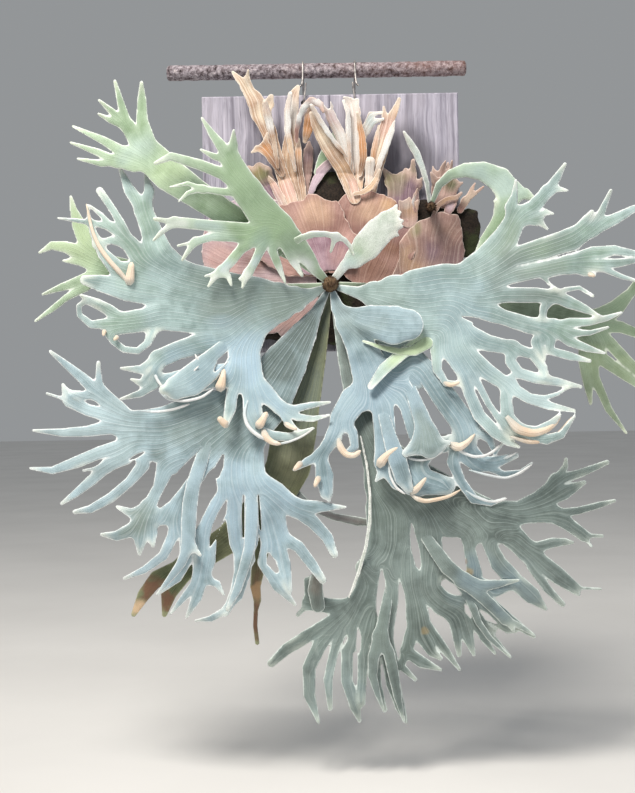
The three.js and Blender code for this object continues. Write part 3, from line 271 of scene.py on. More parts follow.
# %% [markdown]
# ## The leaves' outlines
# These are the tables that the solids were made from. A leaf is a list of nodes from its foot on, each with its
# place, its width and, where it is lifted forward, its lift. A list inside it is a lobe that starts at the node
# before.
# %% Tables of the leaves
FRONDS = {
  "frond_upper_left_front": {
    "depth": 76, "rise": 95,
    "tree": [[-9.5,-61.5,7],[-22,-46,10],[-36,-31,16],[-52,-16,28],[-68,-2,36],[[-84,18,38],[-98,38,34],
    [[-108,56,30],[-116,74,24],[[-114,92,12],[-113,110,3]],[[-128,92,13],[-139,107,9],[-150,125,3]],
    [[-137,80,8],[-152,88,3]]],[[-128,60,14],[-152,70,13],[-187,81,10],[-206,73,4]],[[-124,38,9],[-150,42,8],
    [[-168,38,5],[-179,28,2]],[[-168,49,5],[-189,45,2]]]],[[-92,-8,18],[-118,-4,15],[-150,0,13],[-184,4,13],
    [[-207,8,5]],[[-200,-8,6],[-209,-17,3]]],[[-96,-16,14],[-118,-15,11],[-141,-14,10],[-160,-19,9],
    [[-181,-24,3]],[[-170,-32,6],[-176,-41,3]]],[[-106,-28,12],[-118,-42,12],[-130,-54,11],[[-149,-60,3]],
    [[-139,-62,7],[-146,-72,3]],[[-122,-61,7],[-119,-71,3]]],[[-82,-26,12],[-91,-44,10],[-99,-57,10],
    [[-103,-65,7],[-106,-74,3]],[[-109,-64,3]]],[[-70,-32,11],[-64,-48,9],[-56,-69,3]],[[-53,-30,12],
    [-46,-44,10],[-36,-61,4]]],
  },
  "frond_upper_left_back": {
    "depth": 60, "rise": 95,
    "tree": [[-12,-62.5,7],[-40,-40,16],[-80,-14,26],[-125,14,30],[-160,38,34],[-190,60,40],[-208,78,38],
    [[-216,100,22],[-220,124,14],[-220,148,11],[-220,168,4]],[[-226,98,20],[-237,117,16],[[-243,138,10],
    [-251,170,4]],[[-257,136,8],[-270,148,3]],[[-256,124,8],[-271,132,3]]],[[-230,84,18],[-246,89,13],
    [-266,101,10],[-301,118,3]],[[-230,72,18],[-250,76,14],[[-272,87,9],[-304,99,3]],[[-268,74,8],
    [-296,80,3]]]],
  },
  "frond_left": {
    "depth": 66, "rise": 95,
    "tree": [[-15.5,-79.5,6],[-28,-84,16],[-46,-89,32],[-66,-92,48],[-92,-96,68],[[-122,-88,64],
    [-150,-80,62],[-178,-72,60],[[-204,-38,42],[-210,-10,26,-8],[-220,18,22,-16],[[-236,42,14,-16],
    [-248,70,4,-16]],[[-213,40,13,-16],[-217,62,4,-16]]],[[-218,-46,30],[-236,-22,20],[[-247,4,10],
    [-259,24,9],[-271,42,9]],[[-256,-2,10],[[-270,14,6],[-282,24,3]],[[-276,4,7],[-300,8,5],[-321,11,2]]],
    [[-258,-16,9],[-276,-20,9]]],[[-228,-58,34],[-252,-50,20],[-268,-32,14],[-279,-8,9],[-284,10,5],
    [-286,26,2]],[[-208,-72,46],[-240,-74,28],[-272,-66,20],[-290,-62,12]]],[[-132,-110,44],[-168,-104,44],
    [-196,-104,38],[-222,-110,28],[-246,-113,26],[[-262,-98,14],[-276,-90,12],[-295,-80,4]],[[-266,-114,14],
    [-284,-114,9],[-297,-103,7],[-298,-92,6],[-290,-87,6],[-276,-91,7]],[[-262,-126,12],[-258,-134,9],
    [-246,-144,8],[-230,-146,8],[-218,-137,9],[-212,-122,14]]],[[-118,-128,34],[-150,-137,26],[-182,-146,22],
    [-206,-156,22],[[-226,-168,11],[-250,-166,3]],[[-214,-172,12],[-226,-184,9],[-238,-179,3]],
    [[-212,-186,12],[-228,-196,9],[-251,-202,3]]],[[-106,-148,38],[-104,-176,40],[[-138,-176,26],
    [-160,-180,32],[-184,-184,28],[-203,-180,14],[-211,-168,4]],[[-120,-196,14],[-123,-216,14],
    [-128,-232,8]],[[-100,-204,16],[-102,-224,12],[-92,-240,11],[-74,-248,12],[-54,-250,10],[-26,-240,3]],
    [[-94,-204,14],[-90,-226,12],[-80,-224,5]],[[-80,-200,22],[-66,-214,16],[[-48,-217,9],[-28,-213,8],
    [-6,-210,3]],[[-44,-227,9],[-26,-229,7],[-7,-225,3]],[[-56,-232,9],[-45,-241,3]]]]],
  },
  "frond_left_back": {
    "depth": 46, "rise": 78,
    "tree": [[-16,-75,7],[-60,-80,20],[-120,-84,24],[-180,-72,30],[-235,-56,32],[-266,-48,32],[[-284,-22,24],
    [-296,2,17],[-302,20,9],[-305,36,3]],[[-290,-32,20],[-312,-23,14],[-328,-21,10],[-343,-29,3]],
    [[-294,-40,12],[-315,-39,3]],[[-286,-60,16],[-302,-65,12],[-318,-70,9],[-340,-78,3]],[[-290,-70,12],
    [-312,-82,8],[-330,-96,7],[-349,-109,3]]],
  },
  "frond_lower_left": {
    "depth": 54, "rise": 95,
    "tree": [[-10.5,-86,6],[-20,-104,14],[-36,-130,32],[-58,-164,52],[-84,-202,70],[-112,-230,76],
    [[-150,-232,76],[-190,-246,74],[-228,-243,56],[[-256,-212,20],[-274,-196,20],[[-296,-176,13],
    [-318,-157,8],[-332,-145,4]],[[-276,-176,8],[-276,-159,5]],[[-292,-197,10],[-310,-197,14]]],
    [[-262,-222,16],[-290,-214,14],[-310,-203,16],[[-316,-190,8],[-318,-184,4]],[[-337,-194,3]]],
    [[-262,-234,18],[-290,-239,13],[-320,-240,10],[-354,-237,3]],[[-252,-258,18],[-276,-264,15],
    [-304,-275,14],[-332,-284,9],[-358,-281,3]],[[-246,-270,18],[-268,-280,14],[[-296,-285,3]],
    [[-286,-296,13],[-306,-312,9],[-322,-323,4]]],[[-226,-280,16],[-242,-299,12],[-264,-317,12],
    [-288,-330,10],[-307,-333,5]]],[[-182,-268,44],[-200,-284,22],[-208,-306,14],[-220,-330,18],
    [[-240,-336,12],[-257,-328,4]],[[-238,-354,18],[-258,-362,12],[-276,-360,4]],[[-230,-362,20],
    [-232,-383,5]],[[-218,-360,16],[-216,-374,5]]],[[-140,-258,36],[-160,-282,26],[-178,-312,24],
    [-188,-336,30],[[-212,-342,20],[-222,-344,20]],[[-192,-362,14],[-204,-386,12],[-226,-402,9],
    [-250,-412,4]],[[-176,-364,18],[-178,-392,15],[-188,-412,11],[-212,-431,4]],[[-168,-372,12],
    [-160,-388,5]]],[[-112,-264,56],[-112,-298,58],[[-138,-330,24],[-154,-362,26],[-156,-392,26],
    [-160,-412,22],[[-178,-432,10],[-197,-454,3]],[[-166,-436,13],[-178,-458,4]],[[-142,-420,9],
    [-134,-433,3]]],[[-112,-336,38],[-110,-370,34],[[-104,-392,14]],[[-112,-408,20],[-120,-434,16],
    [[-132,-456,5]],[[-134,-452,9],[-150,-461,8],[-168,-463,3]]]],[[-82,-332,40],[-74,-362,34],
    [[-46,-378,14],[-30,-400,13],[-18,-418,9]],[[-63,-398,16],[-58,-428,9]],[[-84,-396,20],[-70,-424,15],
    [-51,-446,4]]],[[-74,-318,34],[-50,-332,22],[[-24,-332,15],[10,-333,3]],[[-28,-350,16],[-12,-368,14],
    [-4,-388,9]]]]],
  },
  "frond_lower_back": {
    "depth": 42, "rise": 80,
    "tree": [[-6.5,-86.5,7],[-12,-120,14],[-22,-160,24],[-34,-200,36],[-48,-242,52],[-56,-284,52],
    [-76,-322,46],[[-128,-368,34],[-176,-398,28],[[-212,-412,18],[-228,-432,15],[-240,-454,6]],
    [[-198,-428,20],[-204,-455,6]]],[[-90,-380,22],[-94,-424,16],[-95,-462,9],[-100,-490,6]]],
  },
  "frond_lower_right": {
    "depth": 76, "rise": 95,
    "tree": [[0.5,-86.2,6],[5,-100,16],[18,-116,30],[[44,-116,38,6],[70,-121,46,8],[86,-121,38,8]],
    [[30,-144,34,-12],[42,-172,46,-20],[50,-194,54,-20],[[22,-208,34,-18],[8,-228,28,-16],[[-6,-256,18,-15],
    [-18,-272,14,-15],[[-34,-279,10,-15],[-49,-288,4,-15]],[[-14,-296,22,-14],[-12,-316,16,-12],
    [-9,-325,4,-12]]],[[20,-246,12,-18],[22,-262,10,-18],[12,-271,7,-18],[5,-262,5,-18],[4,-253,3,-18]]],
    [[56,-222,26,-20],[58,-252,26,-20],[58,-280,26,-20],[[74,-302,26,-20],[92,-308,28,-20]],[[50,-298,8,-20],
    [46,-303,3,-20]]],[[74,-190,28,-20],[88,-216,26,-20],[100,-244,34,-20],[106,-262,30,-20],
    [[90,-284,30,-20],[98,-304,34,-20],[128,-310,22,-20]],[[124,-262,20,-20],[132,-254,8,-20]]],
    [[92,-160,26,-20],[112,-182,28,-20],[132,-212,30,-20],[152,-240,30,-20],[[163,-253,5,-20]],
    [[150,-268,30,-20],[166,-284,22,-20],[[186,-284,14,-20],[210,-276,8,-20]],[[196,-298,8,-20],
    [216,-295,5,-20],[229,-285,3,-20]]],[[136,-282,14,-20],[146,-306,12,-20],[160,-326,11,-20],
    [180,-332,6,-20],[197,-326,3,-20]],[[180,-256,10,-20],[186,-272,6,-20],[196,-260,4,-20]]]]],
  },
  "frond_bottom": {
    "depth": 42, "rise": 95,
    "tree": [[1.5,-86.2,6],[6,-120,12],[14,-160,20],[26,-210,28],[48,-262,44],[70,-304,72],[[66,-340,52],
    [66,-380,46],[30,-404,20]],[[58,-336,50],[56,-372,40],[[34,-404,16],[36,-436,34],[18,-452,30],
    [[-12,-448,18],[-34,-444,18],[[-36,-418,9],[-24,-412,6]],[[-48,-458,5]]],[[-14,-468,13],[-40,-484,14],
    [-62,-498,14],[-80,-514,10]],[[-26,-478,10],[-50,-492,10]],[[0,-466,16],[-22,-492,17],[-36,-520,16],
    [-36,-552,14],[-26,-584,4]],[[6,-470,14],[-6,-500,11],[-14,-534,11],[-12,-568,6]]],[[28,-456,32],
    [26,-478,34],[[9,-502,14],[8,-536,14],[17,-566,13],[22,-583,5]],[[28,-506,14],[26,-530,11],
    [24,-562,11]]],[[62,-412,18],[58,-444,24],[50,-478,28],[[40,-510,15],[42,-540,13],[52,-571,6]],
    [[58,-506,18],[62,-540,17],[70,-568,12],[76,-585,5]]]],[[92,-330,60],[84,-366,30],[82,-400,30],
    [88,-434,22],[92,-462,26],[[78,-502,14],[96,-516,14],[118,-525,4]],[[72,-520,9],[88,-536,5]],
    [[96,-482,20],[108,-504,12],[118,-512,5]],[[104,-474,12],[122,-500,11],[140,-525,4]]],[[110,-330,64],
    [108,-366,26],[110,-398,30],[104,-430,30],[122,-448,26],[[136,-468,16],[140,-508,6]],[[142,-456,20],
    [148,-478,18],[157,-508,5]],[[148,-448,18],[162,-470,20],[[182,-481,5]],[[178,-486,7],[200,-511,3]],
    [[168,-488,9],[182,-507,4]]]],[[134,-338,66],[156,-362,30],[154,-384,14],[160,-414,18],[150,-424,20],
    [[128,-410,18],[116,-412,16]],[[184,-432,18],[198,-428,14],[212,-424,6]],[[160,-440,26],[180,-464,17],
    [198,-480,9],[206,-482,4]],[[188,-458,14],[208,-474,11],[228,-488,5]]],[[170,-352,52],[176,-376,16],
    [188,-402,20],[208,-424,20],[226,-440,20],[242,-456,5]],[[168,-352,48],[200,-366,30],[222,-388,24],
    [[250,-379,12],[266,-378,9],[275,-379,4]],[[238,-402,20],[258,-418,20],[276,-432,14],[[307,-434,3]],
    [[281,-440,4]]],[[226,-406,11],[244,-432,10],[262,-451,7]]],[[178,-346,36],[214,-342,26],[244,-326,24],
    [[256,-306,16],[[268,-290,7],[269,-281,4]],[[286,-298,10],[317,-286,6]]],[[266,-320,18],[290,-309,5]]],
    [[180,-348,30],[220,-346,20],[252,-345,20],[[282,-342,9],[306,-336,8],[325,-331,4]],[[270,-357,16],
    [288,-371,14],[[310,-372,4]],[[297,-384,3]]]]],
  },
  "frond_right": {
    "depth": 68, "rise": 95,
    "tree": [[12.5,-80.5,6],[28,-82,14],[48,-85,32],[74,-91,58],[104,-97,84],[132,-92,84],[[160,-72,50],
    [184,-48,40],[204,-20,30],[216,2,24],[[210,14,16],[214,28,8],[216,46,3]],[[236,14,18],[252,32,14],
    [[264,48,10],[274,64,4]],[[264,35,8],[276,33,3]]],[[238,0,14],[[250,8,8],[259,6,3]],[[244,-4,8],
    [252,-12,3]]]],[[178,-62,30],[212,-44,22],[248,-34,26],[280,-24,26],[[298,-2,12],[304,7,6]],
    [[304,-12,20],[[316,8,9],[327,32,4]],[[330,-2,14],[353,10,9],[374,17,3]]]],[[176,-70,30],[206,-66,20],
    [240,-60,18],[276,-54,22],[[304,-41,16],[330,-38,12],[352,-42,8],[374,-44,3]],[[304,-54,12],[336,-53,10],
    [368,-48,4]],[[318,-60,8],[338,-69,6],[358,-75,3]],[[294,-63,10],[306,-67,4]],[[247,-68,6],[253,-76,4],
    [262,-82,2]]],[[170,-86,30],[204,-88,18],[238,-89,18],[258,-90,14],[[272,-83,6],[288,-81,5],[304,-91,4]],
    [[276,-98,15],[294,-106,10],[310,-114,3]],[[246,-104,10],[243,-124,7]]],[[168,-102,30],[198,-114,18],
    [228,-124,20],[256,-128,22],[[276,-122,12],[300,-121,9],[320,-117,7],[337,-111,3]],[[280,-134,10],
    [300,-134,6],[321,-128,3]],[[276,-144,12],[296,-152,9],[316,-158,3]],[[238,-144,16],[244,-162,8]],
    [[252,-154,10],[276,-161,10],[299,-167,4]]],[[148,-132,30],[180,-144,20],[208,-150,16],[[232,-158,12],
    [244,-174,11],[246,-186,10]],[[206,-166,13],[216,-180,13],[236,-186,13],[262,-191,10],[288,-197,4]]],
    [[150,-154,26],[178,-177,20],[202,-194,16],[[226,-210,11],[252,-219,10],[280,-225,4]],[[206,-184,7],
    [214,-198,6],[228,-208,7],[246,-209,6],[260,-205,5],[274,-197,3]],[[200,-212,15],[202,-232,16],
    [216,-248,16],[[236,-248,12],[252,-240,10],[262,-230,5]],[[246,-258,12],[264,-253,9],[280,-231,3]]]],
    [[136,-146,30],[150,-176,18],[157,-202,14],[168,-228,15],[186,-248,14],[202,-260,10],[214,-266,4]],
    [[148,-160,22],[166,-188,9],[180,-216,8],[196,-240,8],[206,-254,7]],[[120,-150,16],[120,-174,11],
    [130,-190,8],[144,-191,6]],[[108,-136,16],[80,-154,14],[58,-172,14],[42,-192,8]]],
  },
  "frond_right_back": {
    "depth": 42, "rise": 72,
    "tree": [[13,-73,7],[60,-84,24],[130,-92,34],[200,-102,34],[258,-116,34],[298,-124,36],[[330,-106,20],
    [348,-88,12],[360,-70,8],[368,-55,3]],[[336,-128,14],[360,-138,10],[384,-150,3]],[[322,-146,15],
    [350,-176,13],[380,-202,3]],[[312,-164,16],[342,-186,12],[372,-210,3]],[[294,-166,18],[296,-192,12],
    [299,-217,4]],[[304,-186,12],[320,-224,9],[340,-252,3]]],
  },
}

# The frond that arches up from the second bud, and the two young ones.
ARCHING = {
  "depth": 34, "rise": 60,
  "tree": [[118.5,26.6,5],[126,42,9],[140,54,12],[158,59,17],[178,57,23],[197,47,30],[208,32,30],
  [[226,30,14],[240,22,4]],[[205,14,24],[192,-6,16],[178,-24,12],[168,-38,4]],[[196,12,12],[191,22,3]]],
}
YOUNG_THIN = {
  "depth": 36, "rise": 20,
  "tree": [[112.6,25,4],[112,44,6],[107,62,7],[100,80,9],[93,92,8],[86,105,3]],
}
YOUNG_BROAD = {
  "depth": 76, "rise": 30,
  "tree": [[5,-60.6,8],[14,-50,12],[26,-42,24],[40,-28,34],[54,-12,34],[64,0,26],[[72,12,10],[76,19,3]],
  [[74,6,9],[80,11,3]],[[76,-1,8],[83,1,3]],[[72,-8,10],[82,-6,3]],[[70,-14,9],[77,-16,3]]],
}

# Dried shield lobes, which grow out from between the shields. Stand: how far one lies in front of the roots.
LOBES = {
  "dry_lobe_left": { "stand": 5.65,
    "tree": [[-50,16,18],[-52,40,26],[-60,75,26,6],[-70,105,26,10],[-79,130,24,12],[[-88,148,15,12],
    [-98,163,10,12],[[-109,177,4,10]],[[-95,178,4,14]]],[[-72,146,14,12]]] },
  "dry_lobe_brown": { "stand": 3.62,
    "tree": [[-38,20,13],[-40,42,16],[-42,80,15,6],[-41,120,13,8],[-38,158,5,12]] },
  "dry_lobe_arched": { "stand": 6.17,
    "tree": [[29,27,9],[26,44,12],[16,62,18,8],[2,88,20,14],[-13,116,18,16],[-25,136,13,20],
    [-30,118,8,26]] },
  "dry_lobe_cream": { "stand": 1.26,
    "tree": [[27,22,13],[28,48,18],[26,68,30,0],[22,92,34,1],[14,114,26,2],[[18,130,10,3],[20,144,4,4]],
    [[5,133,5,4]],[[-2,128,10,3],[-7,143,4,4]]] },
  "dry_lobe_right": { "stand": 0.78,
    "tree": [[45,22,12],[48,50,14,4],[57,70,20,8],[65,94,18,11],[73,117,14,14],[80,139,4,18]] },
  "shield_lobe_jagged": { "stand": 1.07,
    "tree": [[84,24,38],[84,38,36],[[70,48,16],[62,61,4]],[[86,52,14],[87,60,4]],[[96,54,9],[96,71,4]],
    [[102,42,10],[106,50,3]]] },
  "shield_lobe_far_right": { "stand": 3.54,
    "tree": [[132,28,28],[136,42,24],[[122,46,10],[117,56,3]],[[137,56,10],[137,67,3]],[[147,42,9],
    [153,44,3]]] },
  "dead_strip": { "stand": 3.31,
    "tree": [[150,12,8],[156,22,7],[[162,32,5],[168,43,3]],[[168,31,4],[178,39,3]]] },
}

# Shield leaves: how far each stands in front of the roots, and its outline.
SHIELDS = {
  "shield_left": { "stand": 2.07,
    "outline": [[-150,-60],[-152,-30],[-149,0],[-135,20],[-108,30],[-80,32],[-55,26],[-30,10],[-18,-20],
    [-17,-50],[-20,-72],[-16,-92],[-30,-112],[-58,-135],[-66,-127],[-95,-130],[-125,-115],[-145,-90]] },
  "shield_right_back": { "stand": 4.34,
    "outline": [[0,16],[12,30],[24,36],[47,38],[57,33],[75,25],[84,8],[94,-10],[98,-35],[88,-60],[60,-75],
    [30,-78],[14,-64],[4,-54],[0,-20]] },
  "shield_front": { "stand": 7.5,
    "outline": [[-60,22],[-46,25],[-32,27],[-27,33],[-18,33],[-6,26],[5,24],[10,20],[14,8],[20,-4],[30,-15],
    [34,-30],[30,-46],[16,-57],[-3,-58],[-22,-62],[-50,-62],[-75,-50],[-92,-30],[-92,-5],[-80,14]] },
  "shield_right": { "stand": 6.25,
    "outline": [[78,-24],[88,-10],[98,-3],[109,1],[118,8],[127,11],[138,7],[149,8],[152,-10],[153,-30],
    [151,-60],[145,-90],[130,-115],[100,-132],[66,-134],[42,-122],[36,-100],[48,-80],[68,-66],[76,-45]] },
  "shield_young": { "stand": 9.31,
    "outline": [[-41,-20],[-29,-11],[-16,-9],[2,-14],[17,-23],[29,-38],[26,-50],[12,-57],[-4,-57.5],
    [-18,-60],[-34,-60],[-44,-48],[-46,-34]] },
}
print("fronds:", len(FRONDS) + 3, "dry lobes:", len(LOBES), "shields:", len(SHIELDS))

# %% [markdown]
# ## From an outline to a sheet
# A frond is a tree of nodes, each with a place and a width, and each lobe is a chain of them. A drawn curve for
# every edge would be hard to keep closed where two lobes part, so the edge is found instead: every place on a
# fine grid gets its distance from the nearest chain's edge, chains are blended where they meet, and the sheet's
# edge is where that distance is zero. The same grid is cut along that line, so all sheets are built by one
# rule.
# %% Distance from a leaf's edge
CROTCH = 5  # how far two lobes' edges run into each other where they part, in millimetres
SPREAD = 4  # how far a lobe's lift and twist reach past its edge
PITCH = 1.6  # grid of a leaf sheet, a little over one pixel of the picture


def chains_of(tree, start=None):
    """The chains of nodes of a leaf tree. Each begins inside the node that it leaves."""
    nodes = [item for item in tree if not isinstance(item[0], list)]
    first = [start[0], start[1], min(start[2], nodes[0][2] * 1.25), *start[3:]] if start else None
    chain = np.array([[*n, 0.0][:4] for n in ([first] if start else []) + nodes])
    branches = [item for item in tree if isinstance(item[0], list)]
    return [chain] + [c for branch in branches for c in chains_of(branch, nodes[-1])]


def on_segment(x, z, a, b):
    """How far (x, z) lie from the edge of the lobe between the nodes a and b, and the lift there."""
    d = b - a
    t = np.clip(((x - a[0]) * d[0] + (z - a[1]) * d[1]) / (d[0] ** 2 + d[1] ** 2), 0, 1)
    away = np.hypot(x - a[0] - t * d[0], z - a[1] - t * d[1])
    return away - (a[2] + t * d[2]) / 2, a[3] + t * d[3]


def leaf_edge(chains, x, z):
    """Distance from the edge, below zero inside the leaf, with rounded crotches."""
    whole = None
    for chain in chains:
        own = np.full(x.shape, np.inf)
        for a, b in zip(chain, chain[1:]):
            own = np.minimum(own, on_segment(x, z, a, b)[0])
        if whole is None:
            whole = own
        else:
            blend = np.clip(CROTCH - np.abs(whole - own), 0, None) / CROTCH
            whole = np.minimum(whole, own) - blend ** 2 * CROTCH / 4
    return whole


def slit_edge(slits, x, z):
    """Distance from the edge of the nearest slit, below zero inside it. A slit is a chain of nodes."""
    away = np.full(x.shape, np.inf)
    for slit in slits:
        for a, b in zip(slit, slit[1:]):
            away = np.minimum(away, on_segment(x, z, np.array([*a, 0.0]), np.array([*b, 0.0]))[0])
    return away


def outline_edge(outline, x, z):
    """Distance from a closed outline, below zero inside it."""
    corners = np.array(outline, float)
    away, inside = np.full(x.shape, np.inf), np.zeros(x.shape, bool)
    for a, b in zip(corners, np.roll(corners, -1, axis=0)):
        d = b - a
        t = np.clip(((x - a[0]) * d[0] + (z - a[1]) * d[1]) / (d @ d), 0, 1)
        away = np.minimum(away, np.hypot(x - a[0] - t * d[0], z - a[1] - t * d[1]))
        crossed = (a[1] > z) != (b[1] > z)
        inside ^= crossed & (x < a[0] + (z - a[1]) * d[0] / (d[1] if d[1] else 1e-9))
    return np.where(inside, -away, away)


def lobes_at(chains, twists, x, z):
    """How far the lobes near a place stand forward: their lift, and their twist about their own middle."""
    total, weights = np.zeros(x.shape), np.zeros(x.shape)
    for chain, twist in zip(chains, twists):
        for k, (a, b) in enumerate(zip(chain, chain[1:])):
            edge, lift = on_segment(x, z, a, b)
            d = (b - a)[:2]
            across = ((z - a[1]) * d[0] - (x - a[0]) * d[1]) / math.hypot(*d)
            along = (k + np.clip(((x - a[0]) * d[0] + (z - a[1]) * d[1]) / (d @ d), 0, 1)) / (len(chain) - 1)
            turned = twist * min(1, 14 / max(a[2], b[2])) * np.clip(across, -20, 20) * along
            weight = np.exp(-np.clip(edge, -40, 40) / SPREAD)
            total, weights = total + weight * (lift + turned), weights + weight
    return total / np.maximum(weights, 1e-12)


def waves(x, z, size, seed):
    """Soft seeded noise from -1 to 1 with features of that size in millimetres."""
    table = np.random.default_rng(seed).uniform(-1, 1, (64, 64))
    u, v = x / size + 640, z / size + 640
    i, j = np.floor(u).astype(int), np.floor(v).astype(int)
    s, t = u - i, v - j
    s, t = s * s * (3 - 2 * s), t * t * (3 - 2 * t)
    corner = lambda a, b: table[(i + a) % 64, (j + b) % 64]
    return (corner(0, 0) * (1 - s) * (1 - t) + corner(1, 0) * s * (1 - t)
        + corner(0, 1) * (1 - s) * t + corner(1, 1) * s * t)


print("sheets are built on a grid of", PITCH, "mm")

# %% [markdown]
# ## Cutting the grid along the edge
# Each cell of the grid is whole, outside or cut by the edge. A cut cell keeps the corners that lie inside and
# gets new points where the edge crosses its sides, the rule known as marching squares. It leaves mostly square
# faces, which shade evenly. Front and back share the points on the edge, so a leaf is one closed skin that is
# thick in the middle and thin at its rim.
# %% Cut the grid, and build the skin


def cut_grid(edge):
    """Faces of the grid inside the edge. Gives polygons and each point's two grid corners and a share."""
    rows, columns = edge.shape
    edge = np.where(np.abs(edge) < 0.12 * PITCH, np.where(edge < 0, -0.12, 0.12) * PITCH, edge)
    inside = edge < 0
    number = np.arange(rows * columns).reshape(rows, columns)
    along_x = rows * columns + np.arange(rows * (columns - 1)).reshape(rows, columns - 1)
    along_z = along_x.max() + 1 + np.arange((rows - 1) * columns).reshape(rows - 1, columns)
    cells = np.stack([number[:-1, :-1], number[:-1, 1:], number[1:, 1:], number[1:, :-1],
        along_x[:-1], along_z[:, 1:], along_x[1:], along_z[:, :-1]], -1).reshape(-1, 8)
    corners = np.stack([inside[:-1, :-1], inside[:-1, 1:], inside[1:, 1:], inside[1:, :-1]], -1).reshape(-1,
        4)
    total = sum(edge[a:rows - 1 + a, b:columns - 1 + b] for a in (0, 1) for b in (0, 1)).reshape(-1)
    code = corners @ np.array([1, 2, 4, 8])
    polygons = []
    for case in range(1, 16):
        held = [bool(case >> k & 1) for k in range(4)]
        walk = []
        for k in range(4):
            walk += ([k] if held[k] else []) + ([4 + k] if held[k] != held[(k + 1) % 4] else [])
        mine = code == case
        parted = {5: [[0, 4, 7], [5, 2, 6]], 10: [[4, 1, 5], [6, 3, 7]]}.get(case)
        if parted:
            for piece in parted:
                polygons += cells[mine & (total >= 0)][:, piece].tolist()
            mine &= total < 0
        polygons += cells[mine][:, walk].tolist()
    used, back = np.unique(np.concatenate([np.array(p) for p in polygons]), return_inverse=True)
    first = np.where(used < rows * columns, used, 0)
    second = first.copy()
    is_x = (used >= along_x.min()) & (used <= along_x.max())
    at = used[is_x] - along_x.min()
    first[is_x] = at // (columns - 1) * columns + at % (columns - 1)
    second[is_x] = first[is_x] + 1
    is_z = used >= along_z.min()
    first[is_z] = used[is_z] - along_z.min()
    second[is_z] = first[is_z] + columns
    flat = edge.reshape(-1)
    share = np.where(first != second, flat[first] / np.where(first != second, flat[first] - flat[second], 1),
        0)
    sizes = np.cumsum([0] + [len(p) for p in polygons])
    faces = [back[a:b].tolist() for a, b in zip(sizes, sizes[1:])]
    return faces, first, second, share


def build(name, vertices, faces, materials, face_materials=None, values=None, colours=None, smooth=True):
    """A mesh object from vertices in metres, with named values and colours for its vertices."""
    mesh = bpy.data.meshes.new(name)
    mesh.from_pydata(vertices.tolist(), [], faces)
    for material in materials:
        mesh.materials.append(material)
    if face_materials is not None:
        mesh.polygons.foreach_set("material_index", face_materials)
    mesh.polygons.foreach_set("use_smooth", [smooth] * len(faces))
    for key, value in (values or {}).items():
        mesh.attributes.new(key, "FLOAT", "POINT").data.foreach_set("value", np.asarray(value, np.float32))
    for key, value in (colours or {}).items():
        mesh.attributes.new(key, "FLOAT_COLOR", "POINT").data.foreach_set(
            "color", np.asarray(value, np.float32).reshape(-1))
    mesh.update()
    piece = bpy.data.objects.new(name, mesh)
    bpy.context.collection.objects.link(piece)
    return piece


def wrapped(rings, around):
    """Faces of a closed skin over that many rings of points, with its two ends."""
    faces = []
    for k in range(rings - 1):
        for i in range(around):
            a, b = k * around + i, k * around + (i + 1) % around
            faces.append([a, b, b + around, a + around])
    return faces + [list(reversed(range(around))), list(range((rings - 1) * around, rings * around))]


def grown(edge_of, low, high, depth_of, thick, pitch=PITCH, fields_of=None):
    """The skin of one sheet: seen places, depths, values of each point, faces and how many are in front."""
    x, z = np.meshgrid(np.arange(low[0], high[0] + pitch, pitch), np.arange(low[1], high[1] + pitch, pitch))
    edge = edge_of(x, z)
    soft = np.minimum(-edge, 14)
    for _ in range(5):  # blurred, so that relief built on it has no crease
        padded = np.pad(soft, 1, mode="edge")
        soft = (padded[1:-1, 1:-1] + padded[:-2, 1:-1] + padded[2:, 1:-1] + padded[1:-1, :-2] + padded[1:-1,
            2:]) / 5
    fields = fields_of(x, z, edge) if fields_of else {}
    faces, first, second, share = cut_grid(edge)
    between = lambda grid: grid.reshape(-1)[first] * (1 - share) + grid.reshape(-1)[second] * share
    seen = np.column_stack([between(x), between(z)])
    values = {key: between(grid) for key, grid in fields.items()}
    values["edge"] = np.where(first != second, 0, -between(edge))
    depth = depth_of(seen[:, 0], seen[:, 1], np.maximum(between(soft), 0), values)
    half = thick / 2 * np.sqrt(1 - (1 - np.minimum(values["edge"] / 1.8, 1)) ** 2)
    rear = np.flatnonzero(first == second)
    number = np.arange(len(seen))
    number[rear] = len(seen) + np.arange(len(rear))
    everything = np.concatenate([np.arange(len(seen)), rear])
    depths = np.concatenate([depth + half, (depth - half)[rear]])
    back_faces = [[int(number[i]) for i in reversed(face)] for face in faces]
    values = {key: value[everything] for key, value in values.items()}
    return seen[everything], depths, values, faces + back_faces, len(faces)


print("a cut cell keeps its inside corners and gets", 2, "new points")

# %% [markdown]
# ## Veins
# The veins of a staghorn blade leave its foot side by side, run along its edges, and fork as it spreads, so
# that they stay about as far apart all the way to the tips. A wave texture can't do that, since it knows
# nothing of the lobes. So each place gets a share between 0 at one edge of the foot and 1 at the other, as sap
# flowing through the blade would share itself out. Veins are the lines where that share is a whole number of
# parts, and there are twice as many parts wherever they would lie too far apart.
# %% Flow through a leaf


